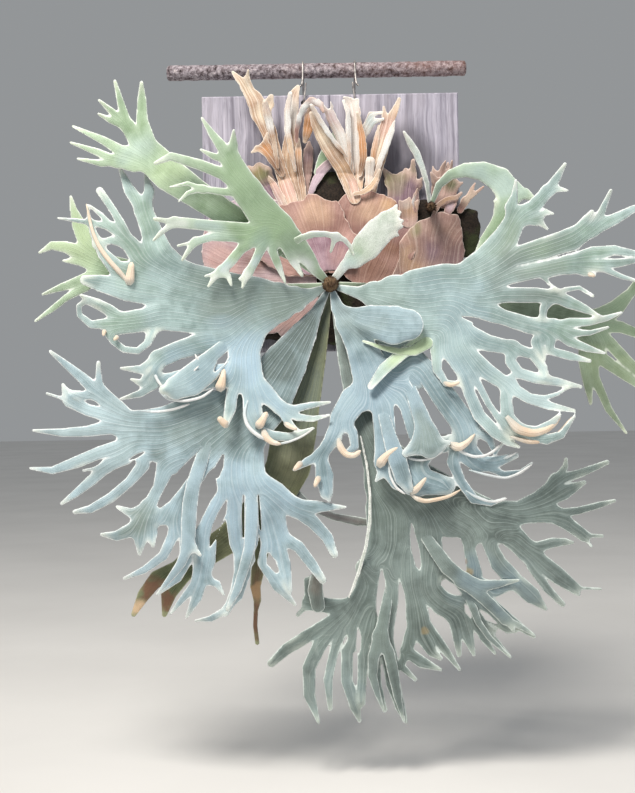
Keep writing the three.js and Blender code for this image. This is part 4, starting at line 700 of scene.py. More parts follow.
def flow_of(tree):
    """Samples along lines of equal share through a leaf: their places and their shares."""
    places, shares = [], []

    def run(p, dp, q, dq, share):
        length = math.dist(p, q)
        t = np.linspace(0, 1, max(3, int(length / 1.5)))[:, None]
        a, b, m, n = np.array(p), np.array(q), np.array(dp) * length, np.array(dq) * length
        places.append((2 * t**3 - 3 * t**2 + 1) * a + (t**3 - 2 * t**2 + t) * m
            + (3 * t**2 - 2 * t**3) * b + (t**3 - t**2) * n)
        shares.append(np.full(len(t), share))

    def grow(items, before, heading, low, high, foot):
        nodes = [i for i in items if not isinstance(i[0], list)]
        branches = [i for i in items if isinstance(i[0], list)]
        path = ([before] if before else []) + nodes
        parts = max(2, round(max(n[2] for n in nodes) / 3))
        across = [(i + 0.5) / parts for i in range(parts)]
        spot = lambda node, ahead, c, wide: (node[0] - ahead[1] * (c - 0.5) * wide,
            node[1] + ahead[0] * (c - 0.5) * wide)
        starts = [spot(before, heading, foot[0] + (foot[1] - foot[0]) * c,
            before[2] * 0.96) for c in across] if before else None
        for at in range(1 if before else 0, len(path)):
            node, a, b = path[at], path[max(at - 1, 0)], path[min(at + 1, len(path) - 1)]
            size = math.dist(a[:2], b[:2]) or 1
            ahead = ((b[0] - a[0]) / size, (b[1] - a[1]) / size)
            points = [spot(node, ahead, c, node[2] * 0.96) for c in across]
            if starts:
                for c, p, q in zip(across, starts, points):
                    run(p, heading, q, ahead, low + (high - low) * c)
            starts, heading = points, ahead
        last = nodes[-1]
        turn = lambda c: math.atan2(heading[0] * (c[0][1] - last[1]) - heading[1] * (c[0][0] - last[0]),
            heading[0] * (c[0][0] - last[0]) + heading[1] * (c[0][1] - last[1]))
        widths, done = sum(c[0][2] for c in branches), 0
        for branch in sorted(branches, key=turn):
            start, done = done / widths, done + branch[0][2]
            end = done / widths
            grow(branch, last, heading, low + (high - low) * start, low + (high - low) * end, (start, end))

    grow(tree, None, (0, 0), 0, 1, (0, 1))
    return np.concatenate(places), np.concatenate(shares)


def spread_out(grid, near, free, rounds):
    """The grid with its free cells drawn towards the mean of their neighbours, over and over."""
    weight = np.pad(near.astype(float), 1)
    for _ in range(rounds):
        held = np.pad(grid, 1) * weight
        total = held[:-2, 1:-1] + held[2:, 1:-1] + held[1:-1, :-2] + held[1:-1, 2:] + held[1:-1, 1:-1]
        count = weight[:-2, 1:-1] + weight[2:, 1:-1] + weight[1:-1, :-2] + weight[1:-1, 2:] + weight[1:-1,
            1:-1]
        grid = np.where(free, total / np.maximum(count, 1), grid)
    return grid


def flow_fields(tree, spacing, pitch):
    """A function that gives each cell of a leaf's grid its flow and its level, the number of doublings."""
    def fields_of(x, z, edge):
        places, shares = flow_of(tree)
        finder = KDTree(len(places))
        for i, (a, b) in enumerate(places):
            finder.insert((a, b, 0), i)
        finder.balance()
        near = edge < 1.5 * pitch
        flow = np.zeros(x.shape)
        flow[near] = [shares[finder.find((a, b, 0))[1]] for a, b in zip(x[near], z[near])]
        flow = spread_out(flow, near, near & (edge < -pitch), 90)
        slopes = []
        for axis in (0, 1):
            ahead, behind = np.roll(flow, -1, axis), np.roll(flow, 1, axis)
            has_ahead, has_behind = np.roll(near, -1, axis), np.roll(near, 1, axis)
            steps = has_ahead.astype(float) + has_behind
            slopes.append((np.where(has_ahead, ahead, flow) - np.where(has_behind, behind, flow))
                / np.maximum(steps, 1) / pitch)
        slope = np.hypot(*slopes)
        level = spread_out(-np.log2(np.maximum(slope, 2e-4) * spacing), near, near, 30)
        return {"flow": flow, "level": level}
    return fields_of


def vein_distance(values, spacing):
    """Distance in millimetres from the nearest vein, for the ribs that stand out of a blade."""
    whole = np.floor(values["level"])
    part = values["flow"] * 2.0 ** whole
    return np.abs(part - np.round(part)) * spacing * 2.0 ** (values["level"] - whole)


print("a leaf's flow goes from 0 to", 1)

# %% [markdown]
# ## The living fronds
# Each frond is one blade with its forks, grown from one of the two buds: it comes forward as it leaves its bud
# and then hangs back. The blade is bent along that arch, its lobes' cross-sections are a little crowned or
# hollowed, it ripples more the further out it is, and each tip curls its own way. All of it is added to the
# depth only, so the outline stays as drawn, and no two faces of a blade can cross.
# %% Bend and build a frond
CROWN = {"x": -3, "z": -72, "radius": 10, "foot": 25.1, "shoulder": 86, "tip": 96}
BUD = {"x": 116, "z": 17, "radius": 6, "foot": 10.8, "shoulder": 44, "tip": 50}
BLADE, PAPERY, GAP = 1.2, 0.8, 0.3  # how thick living and dry leaves are, and the air between pieces
CREST, DROOP = 260, 0.35  # where a frond's arch is highest, and how fast it falls beyond
CURL_REACH = 26  # how many millimetres of each tip curl
# Tints for tones and spots. deep, dim and slate are painted shade, laid where stalks and lobes lie in shade,
# and sky is painted light, laid where a blade hangs out and faces the light.
TINTS_AND_PAINTED_SHADING = {"deep": "#44524c", "dim": "#7b8a83", "slate": "#8ba3b2", "sky": "#a9c3d4", "silver": "#b9cdd0",
    "white": "#f2f5f4", "leafy": "#a6c29a",
    "sage": "#8ba581", "lime": "#bcd0a4", "moss": "#4a5a34", "olive": "#86875c", "ochre": "#a8905e",
    "cream": "#f1e2cb", "peach": "#e8c6a2", "orange": "#d89760", "tan": "#c9a27a", "pink": "#d9aea4",
    "lilac": "#c8b6c4", "plum": "#7d6677", "brown": "#7b5641"}


def seated(tree, bud):
    """The tree with its foot drawn in to the side of its bud."""
    x, z, width = tree[0][:3]
    share = 0.62 * bud["radius"] / math.hypot(x - bud["x"], z - bud["z"])
    return [[bud["x"] + (x - bud["x"]) * share, bud["z"] + (z - bud["z"]) * share, *tree[0][2:]], *tree[1:]]


def tips_of(tree):
    """The end nodes of a tree, each with the node before it."""
    nodes = [i for i in tree if not isinstance(i[0], list)]
    branches = [i for i in tree if isinstance(i[0], list)]
    if branches:
        return [t for b in branches for t in tips_of([nodes[-1], *b] if len(b) == 1 else b)]
    return [(np.array(nodes[-1][:2], float), np.array((nodes[-2] if len(nodes) > 1 else nodes[-1])[:2],
        float))]


def tint_of(seen, spots, crisp):
    """Local tints, painted shade and painted light as red, green, blue and share, from spots of (x, z, radius,
    tint, share).
    """
    tint = np.zeros((len(seen), 4))
    total = np.full(len(seen), 1e-9)
    for x, z, radius, name, share in spots:
        away = np.hypot(seen[:, 0] - x, seen[:, 1] - z) / radius
        away += 0.3 * waves(seen[:, 0], seen[:, 1], 5 if crisp > 1.6 else 19, int(abs(x) * 7 + abs(z)))
        strength = share * np.clip(crisp * (1 - away), 0, 1)
        tint[:, :3] += strength[:, None] * np.array(linear(TINTS_AND_PAINTED_SHADING[name])[:3])
        total += strength
        tint[:, 3] = np.maximum(tint[:, 3], strength)
    tint[:, :3] /= total[:, None]
    return tint


def leaf(name, tree, base_depth, finish, under, thick, cup, ripple, curl, spacing, seed, tones_and_shading=(), spots=(),
        crease=0.0, twist=0.45, pitch=PITCH, fray=0.0, slits=()):
    """One leaf sheet. base_depth gives its depth; cup, ripple and curl are depths in millimetres."""
    chains, tips = chains_of(tree), tips_of(tree)
    dice = np.random.default_rng(seed)
    bends, twists = dice.uniform(-0.35, 1, len(tips)) * curl, dice.uniform(-1, 1, len(chains)) * twist

    def depth_of(x, z, inner, values):
        depth = base_depth(x, z) + lobes_at(chains, twists, x, z)
        out = np.clip(np.hypot(x - tree[0][0], z - tree[0][1]) / CREST, 0.05, 1.2)
        depth += cup * (1 - np.exp(-inner / 5)) - cup * 0.55
        depth += ripple * out * waves(x, z, 62, seed + 1) + 0.3 * ripple * waves(x, z, 21, seed + 2) * out
        for bend, (end, before) in zip(bends, tips):
            reach = np.clip(1 - np.hypot(x - end[0], z - end[1]) / CURL_REACH, 0, 1)
            depth += bend * reach ** 2
        if crease:  # ribs that stand out of the blade
            depth += crease * np.exp(-(vein_distance(values, spacing) / 1.3) ** 2) * np.clip(inner / 4, 0, 1)
        return depth

    nodes = np.concatenate(chains)
    low = (nodes[:, :2] - nodes[:, 2:3]).min(0) - 4
    high = (nodes[:, :2] + nodes[:, 2:3]).max(0) + 4
    edge_of = lambda x, z: np.maximum(leaf_edge(chains, x, z) + fray * (
        waves(x, z, 3.5, seed + 3) + waves(x, z, 9, seed + 4)), -slit_edge(slits, x, z))
    seen, depth, values, faces, in_front = grown(edge_of, low, high, depth_of, thick, pitch,
        flow_fields(tree, spacing, pitch))
    values["tip"] = np.zeros(len(seen))
    for end, before in tips:
        values["tip"] = np.maximum(values["tip"], np.clip(1.15 - np.hypot(*(seen - end).T) / 14, 0, 1))
    values["tip"] *= np.clip(1.5 - values["edge"] / 4, 0, 1)
    # the tone attribute holds the leaf's tones together with their painted shade and painted light
    return build(name, place(seen, depth), faces, [finish, under],
        [0] * in_front + [1] * (len(faces) - in_front),
        values, {"tone": tint_of(seen, tones_and_shading, 1.5), "tint": tint_of(seen, spots, 1.8)})


def arch(frond, bud):
    """Depth of a frond on its way out from its bud."""
    def base_depth(x, z):
        out = np.hypot(x - bud["x"], z - bud["z"]) / CREST
        return frond["depth"] + frond["rise"] * np.where(out < 1, np.sin(np.minimum(out, 1) * math.pi / 2),
            1 - DROOP * (out - 1) ** 2)
    return base_depth


# Finish, cup, ripple, curl, vein spacing, crease, tones and spots. The tones are the blades' colours and
# painted
# light and shade: deep, dim and slate paint shade, and sky paints light. A spot is x, z, radius, tint and
# share.
LOOKS = {
    "frond_upper_left_front": ("green", 1.2,4,5,4.5,0, (
    (-66,0,60, "leafy", 0.8), (-100,50,42, "leafy", 0.7), (-44,-30,30, "dim", 0.6),
    (-84,-24,20, "slate", 0.5), (-57,-62,26, "white", 1),
    (-40,-56,24, "white", 1), (-104,-66,26, "white", 1), (-142,-64,28, "white", 1), (-120,-64,18, "white", 1),
    (-125,-50,18, "silver", 0.9), (-92,-45,18, "silver", 0.9), (-195,-2,34, "white", 0.8),
    (-176,-32,22, "white", 0.8), (-150,-10,34, "silver", 0.6), (-200,74,24, "white", 0.6)), ()),
    "frond_upper_left_back": ("green", 1.2,5,6,5,0, (
    (-100,10,60, "sage", 0.8), (-200,70,50, "lime", 0.4), (-225,90,30, "silver", 0.5),
    (-150,40,30, "dim", 0.3)), ()),
    "frond_left": ("silver", 1.2,6,8,5,0, (
    (-60,-90,62, "dim", 0.9), (-112,-82,66, "dim", 0.85), (-150,-66,40, "dim", 0.6),
    (-105,-155,60, "sky", 0.9),
    (-170,-185,60, "sky", 0.5), (-235,-5,70, "sage", 0.35), (-250,-110,40, "sage", 0.35),
    (-75,-215,50, "sky", 0.7), (-240,-190,26, "deep", 0.6)), ()),
    "frond_left_back": ("green", 1,5,6,5,0, ((-300,0,60, "lime", 0.7), (-220,-55,70, "sage", 0.7)), ()),
    "frond_lower_left": ("blue", 1.4,6,8,5,0.4, (
    (-28,-120,60, "deep", 0.9), (-58,-165,66, "deep", 0.85), (-95,-212,46, "dim", 0.7),
    (-170,-232,60, "dim", 0.6), (-118,-240,40, "dim", 0.6),
    (-110,-340,80, "sky", 0.7), (-200,-390,60, "sky", 0.4), (-280,-240,90, "silver", 0.5),
    (-232,-346,40, "dim", 0.9)), ()),
    "frond_lower_back": ("olive", 2,3,4,4.5,0.6, (
    (-10,-110,70, "deep", 0.9), (-28,-190,60, "deep", 0.7), (-52,-280,44, "ochre", 0.2),
    (-60,-230,90, "dim", 0.4), (-96,-430,40, "brown", 0.7), (-190,-410,50, "moss", 0.6)), (
    (-215,-425,20, "brown", 0.9), (-200,-440,15, "brown", 0.9), (-98,-465,26, "brown", 0.9),
    (-232,-446,12, "peach", 0.8), (-94,-430,14, "tan", 0.7))),
    "frond_lower_right": ("cool", 2,5,7,5,0.3, (
    (50,-200,60, "slate", 0.7), (30,-120,40, "dim", 0.5), (45,-104,22, "slate", 0.5),
    (110,-256,46, "dim", 0.7),
    (60,-262,40, "slate", 0.6), (5,-240,40, "slate", 0.4), (16,-95,24, "deep", 0.5)), ()),
    "frond_bottom": ("under", 1.4,6,8,5,0.6, (
    (36,-240,60, "deep", 0.6), (60,-330,60, "dim", 0.4), (128,-432,16, "deep", 0.9),
    (165,-425,40, "slate", 0.45),
    (200,-440,40, "slate", 0.4), (250,-340,70, "deep", 0.4), (-50,-480,50, "dim", 0.5),
    (60,-480,60, "dim", 0.6), (0,-545,50, "silver", 0.25), (110,-500,40, "deep", 0.5)), (
    (152,-412,7, "ochre", 0.6), (148,-400,5, "brown", 0.7), (100,-480,6, "ochre", 0.5))),
    "frond_right": ("silver", 1.2,6,8,5,0, (
    (60,-84,50, "dim", 0.35), (150,-110,60, "slate", 0.4), (232,-52,70, "dim", 0.9),
    (300,-40,70, "sage", 0.35), (110,-85,40, "slate", 0.3), (150,-190,50, "slate", 0.5),
    (78,-156,42, "lime", 0.85), (220,-105,34, "dim", 0.6), (220,-10,50, "sage", 0.4),
    (290,-130,50, "sage", 0.35), (230,-210,50, "silver", 0.5)), ()),
    "frond_right_back": ("shaded", 1,5,6,5,0, ((340,-110,60, "sage", 0.5), (330,-190,60, "lime", 0.4)), ()),
}
SLITS = {  # gaps between lobes that are too fine for the solids
    "frond_bottom": (
    ((87,-354,1), (88,-368,6), (91,-385,9), (94,-402,6), (95,-407,1)),
    ((51,-407,1), (51,-420,7), (50,-440,11), (48,-455,8), (47,-465,2)),
    ((22,-475,1), (23,-485,5), (22,-498,5), (22,-505,1)), ((148,-450,2), (152,-457,8), (154,-464,2)),
    ((166,-457,2), (174,-465,7), (184,-472,2))),
    "frond_lower_left": (
    ((-158,-264,2), (-165,-275,9), (-178,-290,13), (-190,-305,14), (-200,-318,12), (-207,-327,6)),
    ((-132,-270,2), (-136,-282,8), (-141,-292,9)),
    ((-129,-323,1), (-134,-337,8), (-141,-352,9), (-146,-367,7), (-149,-376,1)),
    ((-109,-318,2), (-110,-340,2.8), (-110,-366,2)), ((-92,-318,2), (-91,-338,3), (-90,-357,2)),
    ((-81,-387,4), (-78,-396,10), (-72,-406,5)), ((-241,-273,1.5), (-233,-269,4), (-225,-265,1.5))),
    "frond_right": (((151,-113,1.5), (165,-117,6), (180,-124,10)),),
    "curled_lobe": (((-140,-171,2), (-132,-160,9), (-121,-147,2)),
        ((-206,-178,3), (-192,-168,9), (-176,-153,2))),
}
# Two fronds get a finer lobe and a finer foot than their solids have.
FRONDS["frond_lower_back"]["tree"][-1] = [[-90,-380,20],[-97,-424,12],[-95,-440,9],[-97,-452,5],[-98,-470,5],
[-96,-490,5]]
FRONDS["frond_upper_left_front"]["tree"][:5] = [[-11,-65,8],[-20,-55,13],[-29,-41,19],[-44,-22,26],
[-63,-4,35]]
for number, (name, frond) in enumerate(FRONDS.items()):
    finish, cup, ripple, curl, spacing, crease, tones_and_shading, spots = LOOKS[name]
    under = FINISHES["under" if finish != "olive" else "olive"]
    piece = leaf("fine_" + name, seated(frond["tree"], CROWN), arch(frond, CROWN), FINISHES[finish], under,
        BLADE, cup, ripple, curl, spacing, 100 + 10 * number, tones_and_shading, spots, crease, slits=SLITS.get(name, ()))
    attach(piece, "root")
    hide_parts(name)
    print(name, len(piece.data.polygons), "faces")

for name, frond, bud, finish, tones_and_shading in (
        ("frond_arching", ARCHING, BUD, "green", ((190, 40, 50, "silver", 0.6), (125, 40, 24, "dim", 0.8),
        (190, 0, 30, "sage", 0.5))),
        ("young_frond_thin", YOUNG_THIN, BUD, "down", ((112, 40, 24, "dim", 0.9),
        (104, 70, 16, "silver", 0.6))),
        ("young_frond_broad", YOUNG_BROAD, CROWN, "down",
        ((30, -36, 22, "sage", 0.55), (20, -50, 16, "silver", 0.8)))):
    piece = leaf("fine_" + name, seated(frond["tree"], bud), arch(frond, bud), FINISHES[finish],
        FINISHES["under"], BLADE, 2, 2, 4, 4, 300 + len(name), tones_and_shading)
    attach(piece, "root")
    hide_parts(name)
    print(name, len(piece.data.polygons), "faces")

# One lobe of the upper left frond is folded over to the right and hangs in front of the young shield.
frond = FRONDS["frond_upper_left_front"]
fold = leaf("folded_lobe", [[-66, -36, 9, -9], [-50, -25, 9, -3], [-36, -17, 8, 5], [-22, -13, 8, 8],
    [-8, -13, 7, 9], [5, -16, 7, 9],
    [[14, -20, 6, 8], [20, -27, 5, 6], [24.5, -38, 3, 4]], [[1, -24, 5, 7], [-2, -34, 3, 5]]],
    arch(frond, CROWN), FINISHES["green"], FINISHES["under"], BLADE, 1.5, 3, 4, 4, 350,
    ((0, -20, 60, "white", 1), (-14, -11, 8, "silver", 0.7)))
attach(fold, "root")

# The left edge of the lowest frond is folded to the front and shows its white felt.
frond = FRONDS["frond_bottom"]
hem = leaf("folded_edge", [[29, -250, 2, 2], [36, -285, 3, 3], [39, -320, 3, 4], [38, -352, 4, 4],
    [33, -380, 4, 4], [24, -410, 4, 4], [12, -439, 2, 3]],
    arch(frond, CROWN), FINISHES["down"], FINISHES["under"], PAPERY, 1, 1, 1, 4, 360)
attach(hem, "root")
print("folded lobe and edge:", len(fold.data.polygons) + len(hem.data.polygons), "faces")

# %% [markdown]
# ## Lobes in front of lobes
# Some lobes curl forward and hang in front of the rest of their blade, so that their pale rims cross it. Each
# is a sheet that rises out of its frond's blade, and has the frond's own arch and ripples. Two withered lobes
# hang behind.
# %% Lobes that lie in front
# Frond, finish, tree and tones; the deep, dim and slate tones are painted shade. Lifts are measured from the
# frond's own arch, as in its tree.
FRONT_LOBES = {
    "lobe_beside_cup": ("frond_lower_right", "silver", [[38,-112,22,-16], [60,-128,34,-14], [88,-134,34,-13]],
    ((70,-130,60, "dim", 0.3),)),
    "blade_behind_cup": ("frond_lower_right", "cool",
        [[34,-130,24,-14], [56,-150,42,-22], [78,-168,42,-23], [96,-184,26,-23]],
    ((70,-160,60, "slate", 0.4),)),
    "lobe_under_cup": ("frond_right", "green", [[108,-142,16,0],[94,-151,13,1],[76,-152,9,1],[56,-147,6,0],
    [34,-139,3,0]],
    ((70,-148,60, "lime", 0.7),)),
    "curled_lobe_right": ("frond_lower_right", "cool", [[84,-186,14,-26],[92,-206,16,-17],[101,-230,20,-14],
    [106,-250,26,-12],[[94,-264,20,-12],[82,-271,10,-12]],[[110,-264,28,-12]],[[122,-262,16,-12],
    [131,-260,7,-12]]], ()),
    "curled_lobe_middle": ("frond_lower_right", "cool", [[54,-206,12,-26],[58,-232,14,-17],[65,-258,18,-14],
    [72,-280,22,-12],[78,-300,20,-13],[84,-312,12,-14]], ((80,-296,16, "deep", 0.4),)),
    "curled_lobe": ("frond_left", "silver", [[-118,-140,24,-4],[-134,-152,26,3],[-150,-168,34,7],
    [-168,-182,36,9],[-186,-190,28,9],[-200,-192,12,8]],
    ((-150,-165,40, "slate", 0.5), (-185,-190,24, "silver", 0.6))),
    "front_lobe_lower_left": ("frond_lower_left", "blue", [
    [-143,-232,12,-8],[-152,-259,15,-1],[-161,-285,17,4],[-168,-305,17,6],[-172,-327,18,7],[-174,-350,18,8],
    [-175,-376,16,8],[[-184,-396,11,8],[-196,-412,8,7],[-212,-431,3,6]],[[-168,-378,7,10],[-161,-386,4,12]]],
    ()),
    "front_lobe_lower_middle": ("frond_lower_left", "blue", [
    [-96,-278,11,-8],[-99,-312,14,0],[-100,-350,16,5],[-103,-378,14,8],[-110,-402,12,9],[-118,-426,11,9],
    [-130,-450,5,8]], ()),
    "front_lobe_bottom_right": ("frond_bottom", "under", [
    [98,-362,12,-8],[116,-388,16,2],[128,-405,18,5],[146,-421,17,6],[[166,-428,15,7],[186,-426,10,8],
    [211,-422,3,10]],[[164,-437,15,6],[180,-452,14,6],[194,-467,13,6],[[204,-481,4,5]],[[212,-476,7,5],
    [228,-486,3,4]]]],
    ()),
    "front_lobe_bottom_left": ("frond_bottom", "under", [
    [60,-428,11,-8],[53,-462,14,3],[48,-485,16,6],[[40,-508,14,7],[38,-530,11,7],[44,-553,7,7],
    [51,-573,3,6]],[[58,-505,14,6],[63,-530,13,6],[67,-555,10,5],[74,-585,3,4]]], ()),
    "front_lobe_bottom_thin": ("frond_bottom", "under", [[150,-438,8,-3],[158,-455,10,5],[163,-470,8,6],
    [176,-489,7,6],[200,-512,3,5]], ()),
    "withered_lobe_behind": ("frond_lower_back", "under", [[-58,-306,12,-2],[-34,-330,10,-2],[-4,-344,9,-2],
    [24,-350,11,-2],[43,-352,7,-2]], ((-10,-340,60, "plum", 0.6), (20,-350,60, "brown", 0.5))),
    "withered_lobe_bottom": ("frond_bottom", "under", [[-24,-448,16,-3],[-27,-430,18,1],[-26,-416,15,2],
    [-24,-406,8,2]],
    ((-25,-425,30, "brown", 0.35),)),
}
for name, (frond_name, finish, tree, tones_and_shading) in FRONT_LOBES.items():
    frond = FRONDS[frond_name]
    look = LOOKS[frond_name]
    piece = leaf(name, tree, arch(frond, CROWN), FINISHES[finish], FINISHES["under"], BLADE, 2, look[2],
        look[3], 5,
        100 + 10 * list(FRONDS).index(frond_name), look[6] + tones_and_shading, (), look[5], 0.2,
        slits=SLITS.get(name, ()))
    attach(piece, "root")
print("front lobes:", len(FRONT_LOBES))

# %% [markdown]
# ## Rolled tips
# Many tips of this plant have dried and rolled up into little cream-coloured horns, which catch the light in
# front of the grey blades. Each is a sheet rolled round a short line: an outer and an inner wall, open at one
# side, that narrow towards the end. It takes its depth from the frond that it belongs to. The thinnest ones are
# white: they are the rims of lobes that have curled up.
# %% Roll the tips
horn_finish = leaf_finish("cream_rolled_tip", "#f0e0cf", "#ddc2a6", "#d3b294", "#fbf4ea", "#f6ead8",
    rough=0.7, sheen=0.15, streak=0.4, streaks=6.0, spacing=3)
rim_finish = leaf_finish("pale_rolled_rim", "#eef0f0", "#cdd6da", "#c2ccd2", "#ffffff", "#f6eee6", rough=0.6,
    streak=0.15, streaks=6.0, spacing=3)


def rolled_tip(name, frond, line, wide, narrow, proud, finish):
    """A horn along a line of seen places, proud of the frond by some millimetres at its end."""
    line = np.array(line, float)
    steps = 5 * (len(line) - 1) + 1
    t = np.linspace(0, len(line) - 1, steps)
    k = np.minimum(t.astype(int), len(line) - 2)
    middle = line[k] + (line[k + 1] - line[k]) * (t - k)[:, None]
    for _ in range(3):
        middle[1:-1] = (middle[:-2] + 2 * middle[1:-1] + middle[2:]) / 4
    heading = np.gradient(middle, axis=0)
    heading /= np.linalg.norm(heading, axis=1)[:, None]
    side = np.column_stack([-heading[:, 1], heading[:, 0]])
    share = t / t.max()
    radius = (wide + (narrow - wide) * share ** 1.3) / 2
    radius *= np.interp(share, (0, 0.22, 0.9, 1), (0.45, 1, 1, 0.4))
    chains = chains_of(frond["tree"])
    base = arch(frond, CROWN)(middle[:, 0], middle[:, 1]) + lobes_at(chains, [0] * len(chains), *middle.T)
    angles = np.radians(np.linspace(-160, 120, 15))
    rings = []
    for wall in (0, 0.7):  # the outer and the inner wall
        r = np.maximum(radius - wall, 0.15)[:, None]
        across, forward = r * np.sin(angles)[None], r * 0.8 * np.cos(angles)[None]
        seen = middle[:, None] + side[:, None] * across[..., None]
        depth = (base + 0.4 + (proud + 1.1) * share)[:, None] + radius[:, None] * 0.5 + forward
        rings.append(place(seen.reshape(-1, 2), depth.reshape(-1)))
    around, half = len(angles), steps * len(angles)
    faces = []
    for r in range(steps - 1):
        for i in range(around - 1):
            a = r * around + i
            faces += [[a, a + 1, a + 1 + around, a + around], [half + a + around, half + a + 1 + around,
                half + a + 1, half + a]]
        for i, turned in ((0, False), (around - 1, True)):
            a = r * around + i
            quad = [a, a + around, half + a + around, half + a]
            faces.append(quad[::-1] if turned else quad)
    for r, turned in ((0, False), (steps - 1, True)):
        for i in range(around - 1):
            a = r * around + i
            quad = [a + 1, a, half + a, half + a + 1]
            faces.append(quad[::-1] if turned else quad)
    count = 2 * half
    values = {"edge": np.full(count, 1.5), "flow": np.tile(np.linspace(0, 1, around), steps * 2),
        "level": np.full(count, 2.3), "tip": np.tile(np.repeat(share * 0.6, around), 2)}
    seen = np.tile(np.repeat(middle, around, axis=0), (2, 1))
    tone = np.tile(linear(TINTS_AND_PAINTED_SHADING["silver"]), (count, 1))  # the horn still has the blade's colour at its foot
    tone[:, 3] = np.tile(np.repeat(np.clip(1 - share / 0.4, 0, 0.9), around), 2)
    piece = build(name, np.concatenate(rings), faces, [finish], None, values,
        {"tone": tone, "tint": 0 * tone})
    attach(piece, "root")


HORNS = {  # frond: line, width at its foot and end, how far the end stands proud
    "frond_lower_right": (
    ([[49,-287],[54,-279],[62,-271],[73,-264]], 13,4,5), ([[86,-319],[94,-313],[101,-305],[105,-300]], 9,3,4),
    ([[62,-274],[62,-296],[69,-311],[80,-319]], 3,3,3), ([[74,-271],[84,-277],[98,-280],[111,-278],
    [123,-271],[133,-259]], 3,3,4),
    ([[86,-319],[94,-325],[104,-328],[122,-325],[133,-322],[145,-315]], 6,3,4),
    ([[133,-261],[144,-266],[154,-260],[163,-250]], 12,3,5), ([[136,-262],[147,-271],[161,-277],[175,-276],
    [187,-269],[196,-259]], 4,3,4),
    ([[3,-252],[5,-263],[12,-272],[22,-273],[29,-267]], 9,5,4), ([[-40,-279],[-50,-289]], 8,4,4),
    ([[-20,-296],[-26,-309]], 8,4,4), ([[155,-292],[175,-298],[198,-303],[214,-297],[229,-287]], 3,3,4),
    ([[151,-316],[161,-323],[175,-329],[188,-330],[199,-326]], 3,3,4), ([[196,-280],[212,-272]], 4,2,3)),
    "frond_right": (
    ([[127,-189],[136,-193],[146,-189]], 6,4,3), ([[200,-230],[213,-246],[232,-251],[249,-246],[263,-233]],
    12,5,5),
    ([[204,-254],[230,-262],[258,-255],[277,-232]], 6,3,4), ([[298,-65],[307,-68]], 6,3,3)),
    "frond_left": (
    ([[-136,-195],[-132,-184],[-129,-169]], 14,4,6), ([[-125,-236],[-131,-232],[-137,-225]], 10,6,4),
    ([[-92,-239],[-86,-231],[-80,-220]], 12,5,5), ([[-102,-206],[-107,-221],[-104,-234],[-97,-243],
    [-84,-252]], 4,5,4),
    ([[-85,-240],[-82,-250],[-74,-256],[-64,-258]], 10,4,5), ([[-70,-258],[-56,-256],[-40,-250],[-25,-240]],
    3,2,3),
    ([[-60,-233],[-53,-238],[-45,-241]], 7,4,4), ([[-239,-69],[-237,-57],[-235,-42]], 13,6,5),
    ([[-268,-120],[-270,-128]], 6,3,3), ([[-252,-128],[-258,-133]], 6,3,3), ([[-146,-184],[-154,-169],
    [-163,-151]], 4,3,6),
    ([[-206,-193],[-196,-203],[-176,-206],[-156,-202],[-142,-192]], 4,3,8), ([[-212,-168],[-208,-180],
    [-200,-191]], 4,3,6),
    ([[-200,-179],[-180,-180],[-168,-174],[-159,-165]], 3,2,10), ([[-230,-216],[-208,-218],[-188,-215],
    [-170,-209]], 3,3,0),
    ([[-236,-70],[-249,-54],[-263,-38],[-274,-22],[-281,-4],[-287,27]], 7,3,4))}
for name, horns in HORNS.items():
    for number, (line, wide, narrow, proud) in enumerate(horns, 1):
        rolled_tip("rolled_tip_" + name + "_" + str(number), FRONDS[name], line, wide, narrow, proud,
            rim_finish if wide < 5 else horn_finish)
print("rolled tips:", sum(len(h) for h in HORNS.values()))

# %% [markdown]
# ## Dry shield leaves and lobes
# Shield leaves grow flat over the roots, die after a season and stay on as pink-brown paper, thin, veined and
# ruffled, with frayed edges. Dead tissue holds no water, so it is dull and rough. The shields lie on the dome
# of the roots, one over the other, and their veins fan out from the bud.
# %% Finish and shape of the dry leaves
DRY = {name: leaf_finish("papery_leaf_" + name, *colours, rough=0.8, sheen=0.1, felt=0.2, streak=streak,
    streaks=8.0, vein_share=0.14, margin=0.1, rim_width=0.8)
    for name, (streak, *colours) in {
    "pink": (0.16, "#bd978d", "#936d64", "#835d54", "#e6cdc0", "#d2b2a4"),
    "lilac": (0.2, "#d3bcbf", "#ab8f94", "#98797e", "#efe1de", "#e3cecb"),
    "mauve": (0.18, "#c8a9b4", "#96707c", "#805b68", "#f0e4e4", "#dcc2c4"),
    "brown": (0.25, "#c0a298", "#8a6c65", "#6b4f4a", "#e0cbc0", "#ceb4a8"),
    "tan": (0.65, "#e6cfba", "#b0886b", "#94694c", "#f7ecdf", "#f1e1cf"),
    "cream": (0.6, "#efe4dc", "#cba98e", "#b08b6f", "#fbf6f0", "#f6eee6"),
}.items()}

ROOTS = {"middle": [0, -50], "half": [158, 108], "height": 20, "rim": 5}


def roots_depth(x, z):
    across = np.hypot((x - ROOTS["middle"][0]) / ROOTS["half"][0],
        (z - ROOTS["middle"][1]) / ROOTS["half"][1])
    return ROOTS["rim"] + ROOTS["height"] * np.maximum(1 - across ** 2, 0) ** 0.8


FAN, SHIELD_VEINS = 5, 5  # veins for each radian of a shield's fan, and the millimetres between its veins


